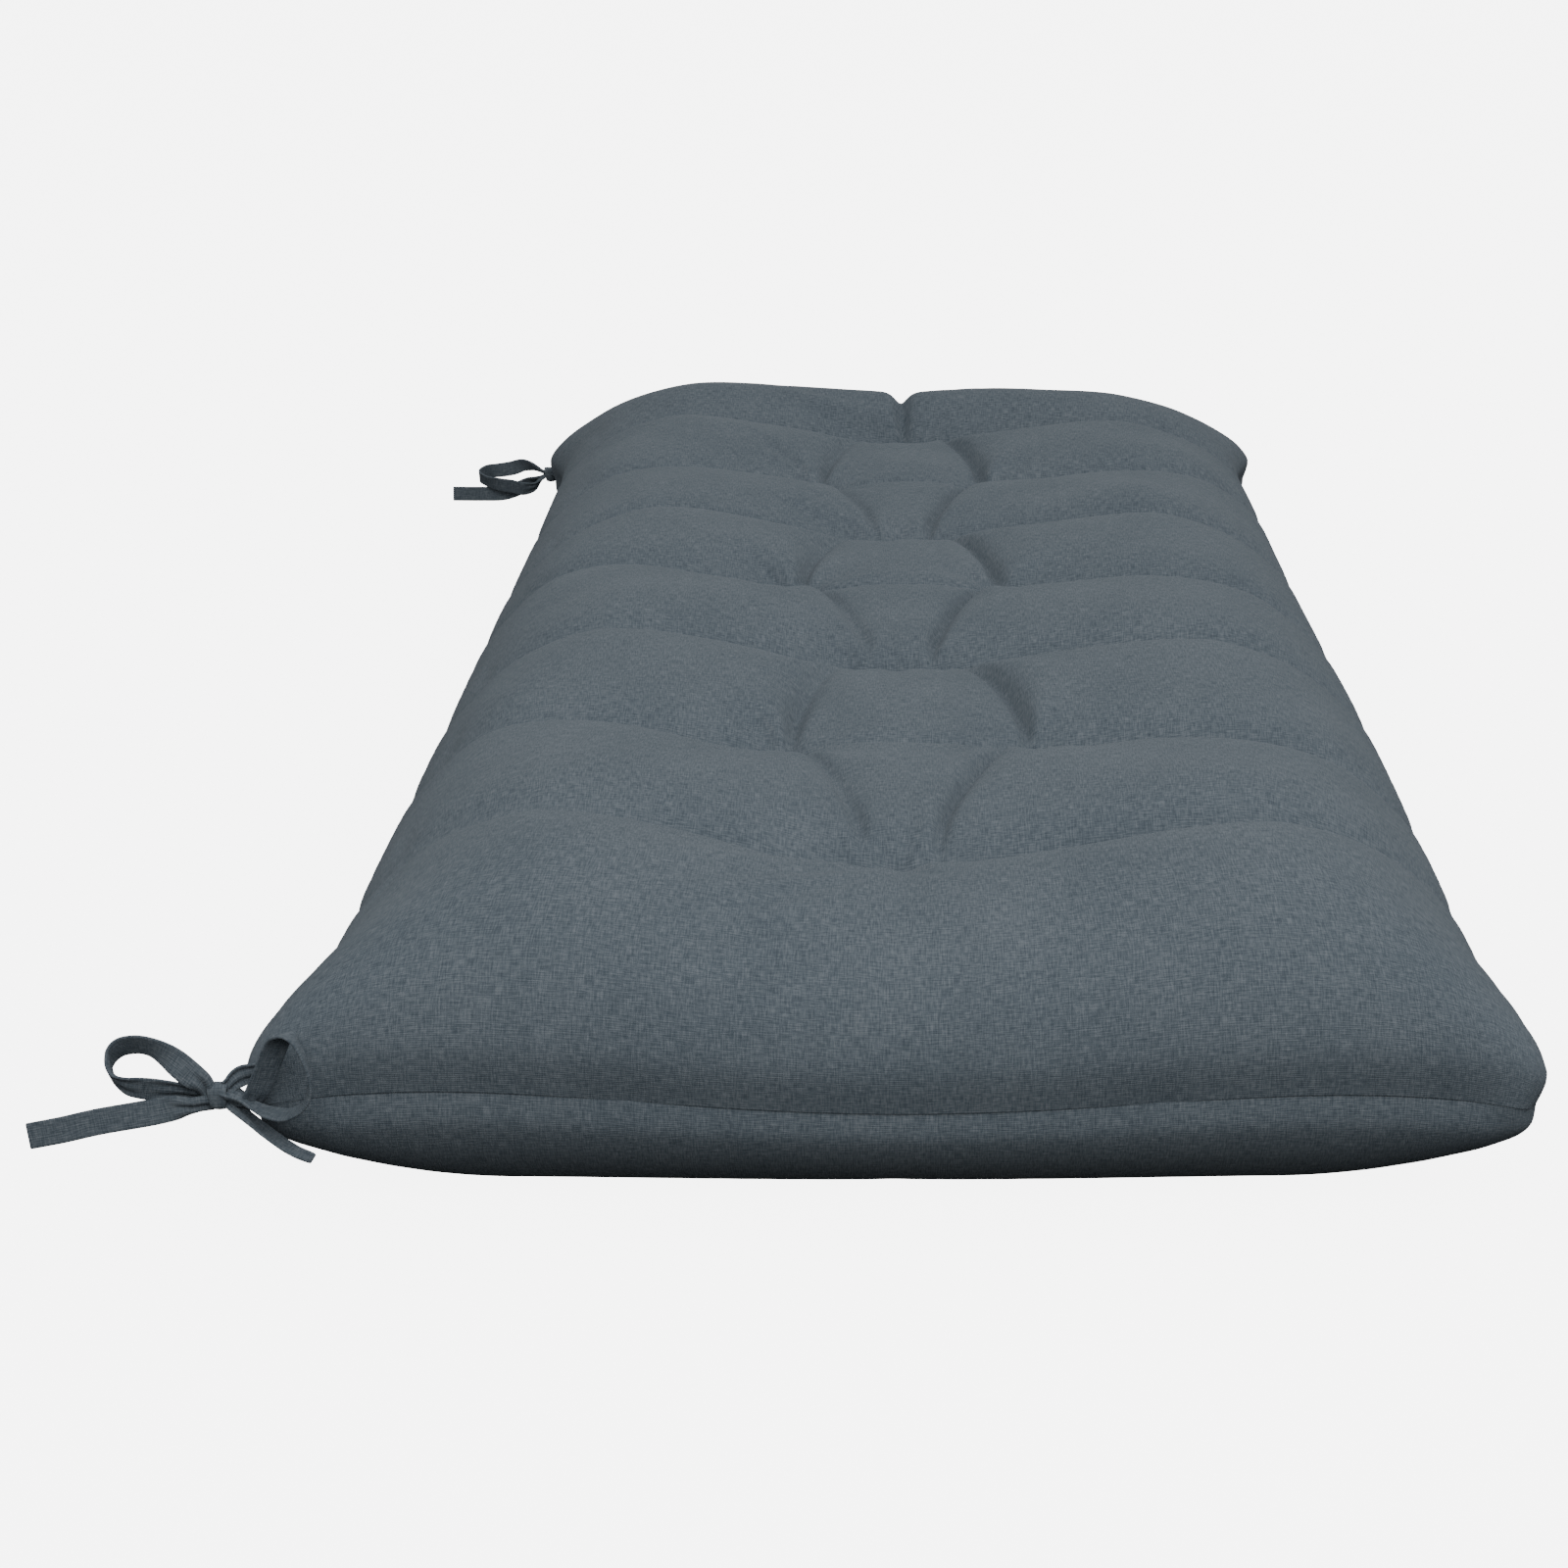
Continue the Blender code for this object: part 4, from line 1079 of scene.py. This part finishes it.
def threads(tree, place, turned):
    """Round threads side by side, from 0 between them to 1 on top."""
    wave = add_node(tree, "ShaderNodeTexWave", wave_type="BANDS", wave_profile="SIN")
    wave.bands_direction = "X" if turned else "Y"
    wave.inputs["Scale"].default_value = 2 * math.pi / THREAD / BANDS_IN_TURN
    wave.inputs["Distortion"].default_value = 0.6
    wave.inputs["Detail Scale"].default_value = 2.0
    tree.links.new(place, wave.inputs["Vector"])
    return wave.outputs["Fac"]


def linen(name, shade=1.0):
    """The woven cloth as a material, in full or in a darker shade."""
    cloth = bpy.data.materials.new(name)
    cloth.use_nodes = True
    tree = cloth.node_tree
    shader = tree.nodes["Principled BSDF"]
    place = add_node(tree, "ShaderNodeUVMap").outputs["UV"]

    warp = streaks(tree, place, STREAK_WIDTH, STREAK_LENGTH, False, 3.1)
    weft = streaks(tree, place, STREAK_WIDTH, STREAK_LENGTH, True, 7.3)
    both = sum_of(tree, warp, weft)
    cloudy = streaks(tree, place, CLOUD_SIZE, CLOUD_SIZE, False, 1.4)
    tone = sum_of(tree, both, cloudy, CLOUD_SHARE)
    ramp = add_node(tree, "ShaderNodeValToRGB")
    stops = ramp.color_ramp.elements
    stops[0].position, stops[0].color = DARK_AT, DARK
    stops[1].position, stops[1].color = PALE_AT, PALE
    middle = stops.new(MIDDLE_AT)
    middle.color = MIDDLE
    for stop in stops:
        stop.color = [channel * shade for channel in stop.color[:3]] + [1.0]
    tree.links.new(tone, ramp.inputs["Fac"])
    tree.links.new(ramp.outputs["Color"], shader.inputs["Base Color"])

    crossing = sum_of(tree, threads(tree, place, False), threads(tree, place, True))
    relief = sum_of(tree, crossing, both)
    bump = add_node(tree, "ShaderNodeBump")
    bump.inputs["Strength"].default_value = 0.6
    bump.inputs["Distance"].default_value = THREAD_RELIEF
    tree.links.new(relief, bump.inputs["Height"])
    tree.links.new(bump.outputs["Normal"], shader.inputs["Normal"])

    shader.inputs["Roughness"].default_value = 0.88
    shader.inputs["Specular IOR Level"].default_value = 0.25
    shader.inputs["Sheen Weight"].default_value = 0.12
    shader.inputs["Sheen Roughness"].default_value = 0.5
    shader.inputs["Sheen Tint"].default_value = (0.70, 0.80, 0.88, 1.0)
    print(f"{name}: threads {THREAD * 1000:.2f} mm apart")
    return cloth


# %% Put the cloth on
cushion_cloth = linen("slate linen weave")
ribbon_cloth = linen("slate ribbon weave", shade=0.92)


def dress(piece, cloth):
    """Give a piece this cloth and no other."""
    piece.data.materials.clear()
    piece.data.materials.append(cloth)


dress(cushion, cushion_cloth)
pick(cushion)
bpy.ops.object.shade_smooth()
for ribbon, cut_length in ribbons.values():
    dress(ribbon, ribbon_cloth)
for knot in knots.values():
    dress(knot, ribbon_cloth)
print("dressed:", cushion.name, "and", len(ribbons) + len(knots), "pieces of ribbon")

# %% [markdown]
# ## The stage
#
# The photo was taken in soft light from all round and above, on pure white, so that no
# side but the underside is dark. A sky that is bright above the horizon and dark below it
# gives that light, and one large lamp above and to the right gives it a direction. A second
# one near the camera lights the end. The floor is a glowing white table, as photographers
# use, and it throws no light back up. The sky keeps the Background node's own dark grey, so
# its strength is a large number.

# %% Floor
FLOOR_SIZE = 400.0
FLOOR_GAP = 0.0004

bpy.ops.object.select_all(action="DESELECT")
bpy.ops.mesh.primitive_plane_add(size=FLOOR_SIZE, location=(0, 0, -FLOOR_GAP))
floor = bpy.context.object
floor.name = "floor"
paint = bpy.data.materials.new("pale floor")
paint.use_nodes = True
paint_shader = paint.node_tree.nodes["Principled BSDF"]
paint_shader.inputs["Base Color"].default_value = (0.85, 0.85, 0.85, 1)
paint_shader.inputs["Roughness"].default_value = 0.9
paint_shader.inputs["Emission Color"].default_value = (1, 1, 1, 1)
paint_shader.inputs["Emission Strength"].default_value = 6.0
floor.data.materials.append(paint)
floor.visible_diffuse = False
floor.visible_glossy = False
floor.visible_shadow = False
print(f"floor {FLOOR_SIZE:.0f} m wide")

# %% Soft light
SKY_ABOVE = 8.60
SKY_BELOW = 0.10
HORIZON = (-0.02, 0.10)  # the sky brightens between these, as the height of its direction
LAMPS = {
    "upper_lamp": {"place": (0.5, -2.0, 2.2), "size": 2.2, "power": 9},
    "front_lamp": {"place": (-2.5, -0.3, 2.0), "size": 2.2, "power": 33},
}

world = bpy.data.worlds.new("studio")
bpy.context.scene.world = world
world.use_nodes = True
sky_tree = world.node_tree
sky = sky_tree.nodes["Background"]
direction = add_node(sky_tree, "ShaderNodeTexCoord")
split = add_node(sky_tree, "ShaderNodeSeparateXYZ")
strength = add_node(sky_tree, "ShaderNodeMapRange")
strength.inputs["From Min"].default_value = HORIZON[0]
strength.inputs["From Max"].default_value = HORIZON[1]
strength.inputs["To Min"].default_value = SKY_BELOW
strength.inputs["To Max"].default_value = SKY_ABOVE
sky_tree.links.new(direction.outputs["Generated"], split.inputs["Vector"])
sky_tree.links.new(split.outputs["Z"], strength.inputs["Value"])
sky_tree.links.new(strength.outputs["Result"], sky.inputs["Strength"])

for name, values in LAMPS.items():
    lamp_data = bpy.data.lights.new(name, "AREA")
    lamp_data.shape = "DISK"
    lamp_data.size = values["size"]
    lamp_data.energy = values["power"]
    lamp = bpy.data.objects.new(name, lamp_data)
    bpy.context.scene.collection.objects.link(lamp)
    towards = Vector(values["place"]).to_track_quat("Z", "Y").to_matrix().to_4x4()
    lamp.matrix_world = Matrix.Translation(values["place"]) @ towards
print("sky", SKY_ABOVE, "above and", SKY_BELOW, "below the horizon")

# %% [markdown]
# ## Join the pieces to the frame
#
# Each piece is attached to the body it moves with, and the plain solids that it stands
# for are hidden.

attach(cushion, "root")
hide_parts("cushion")
for (corner, which), (ribbon, cut_length) in ribbons.items():
    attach(ribbon, "root")
    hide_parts(*(f"{corner}_{run}" for run in RIBBONS[which]))
for corner, knot in knots.items():
    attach(knot, "root")
    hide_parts(f"{corner}_knot")
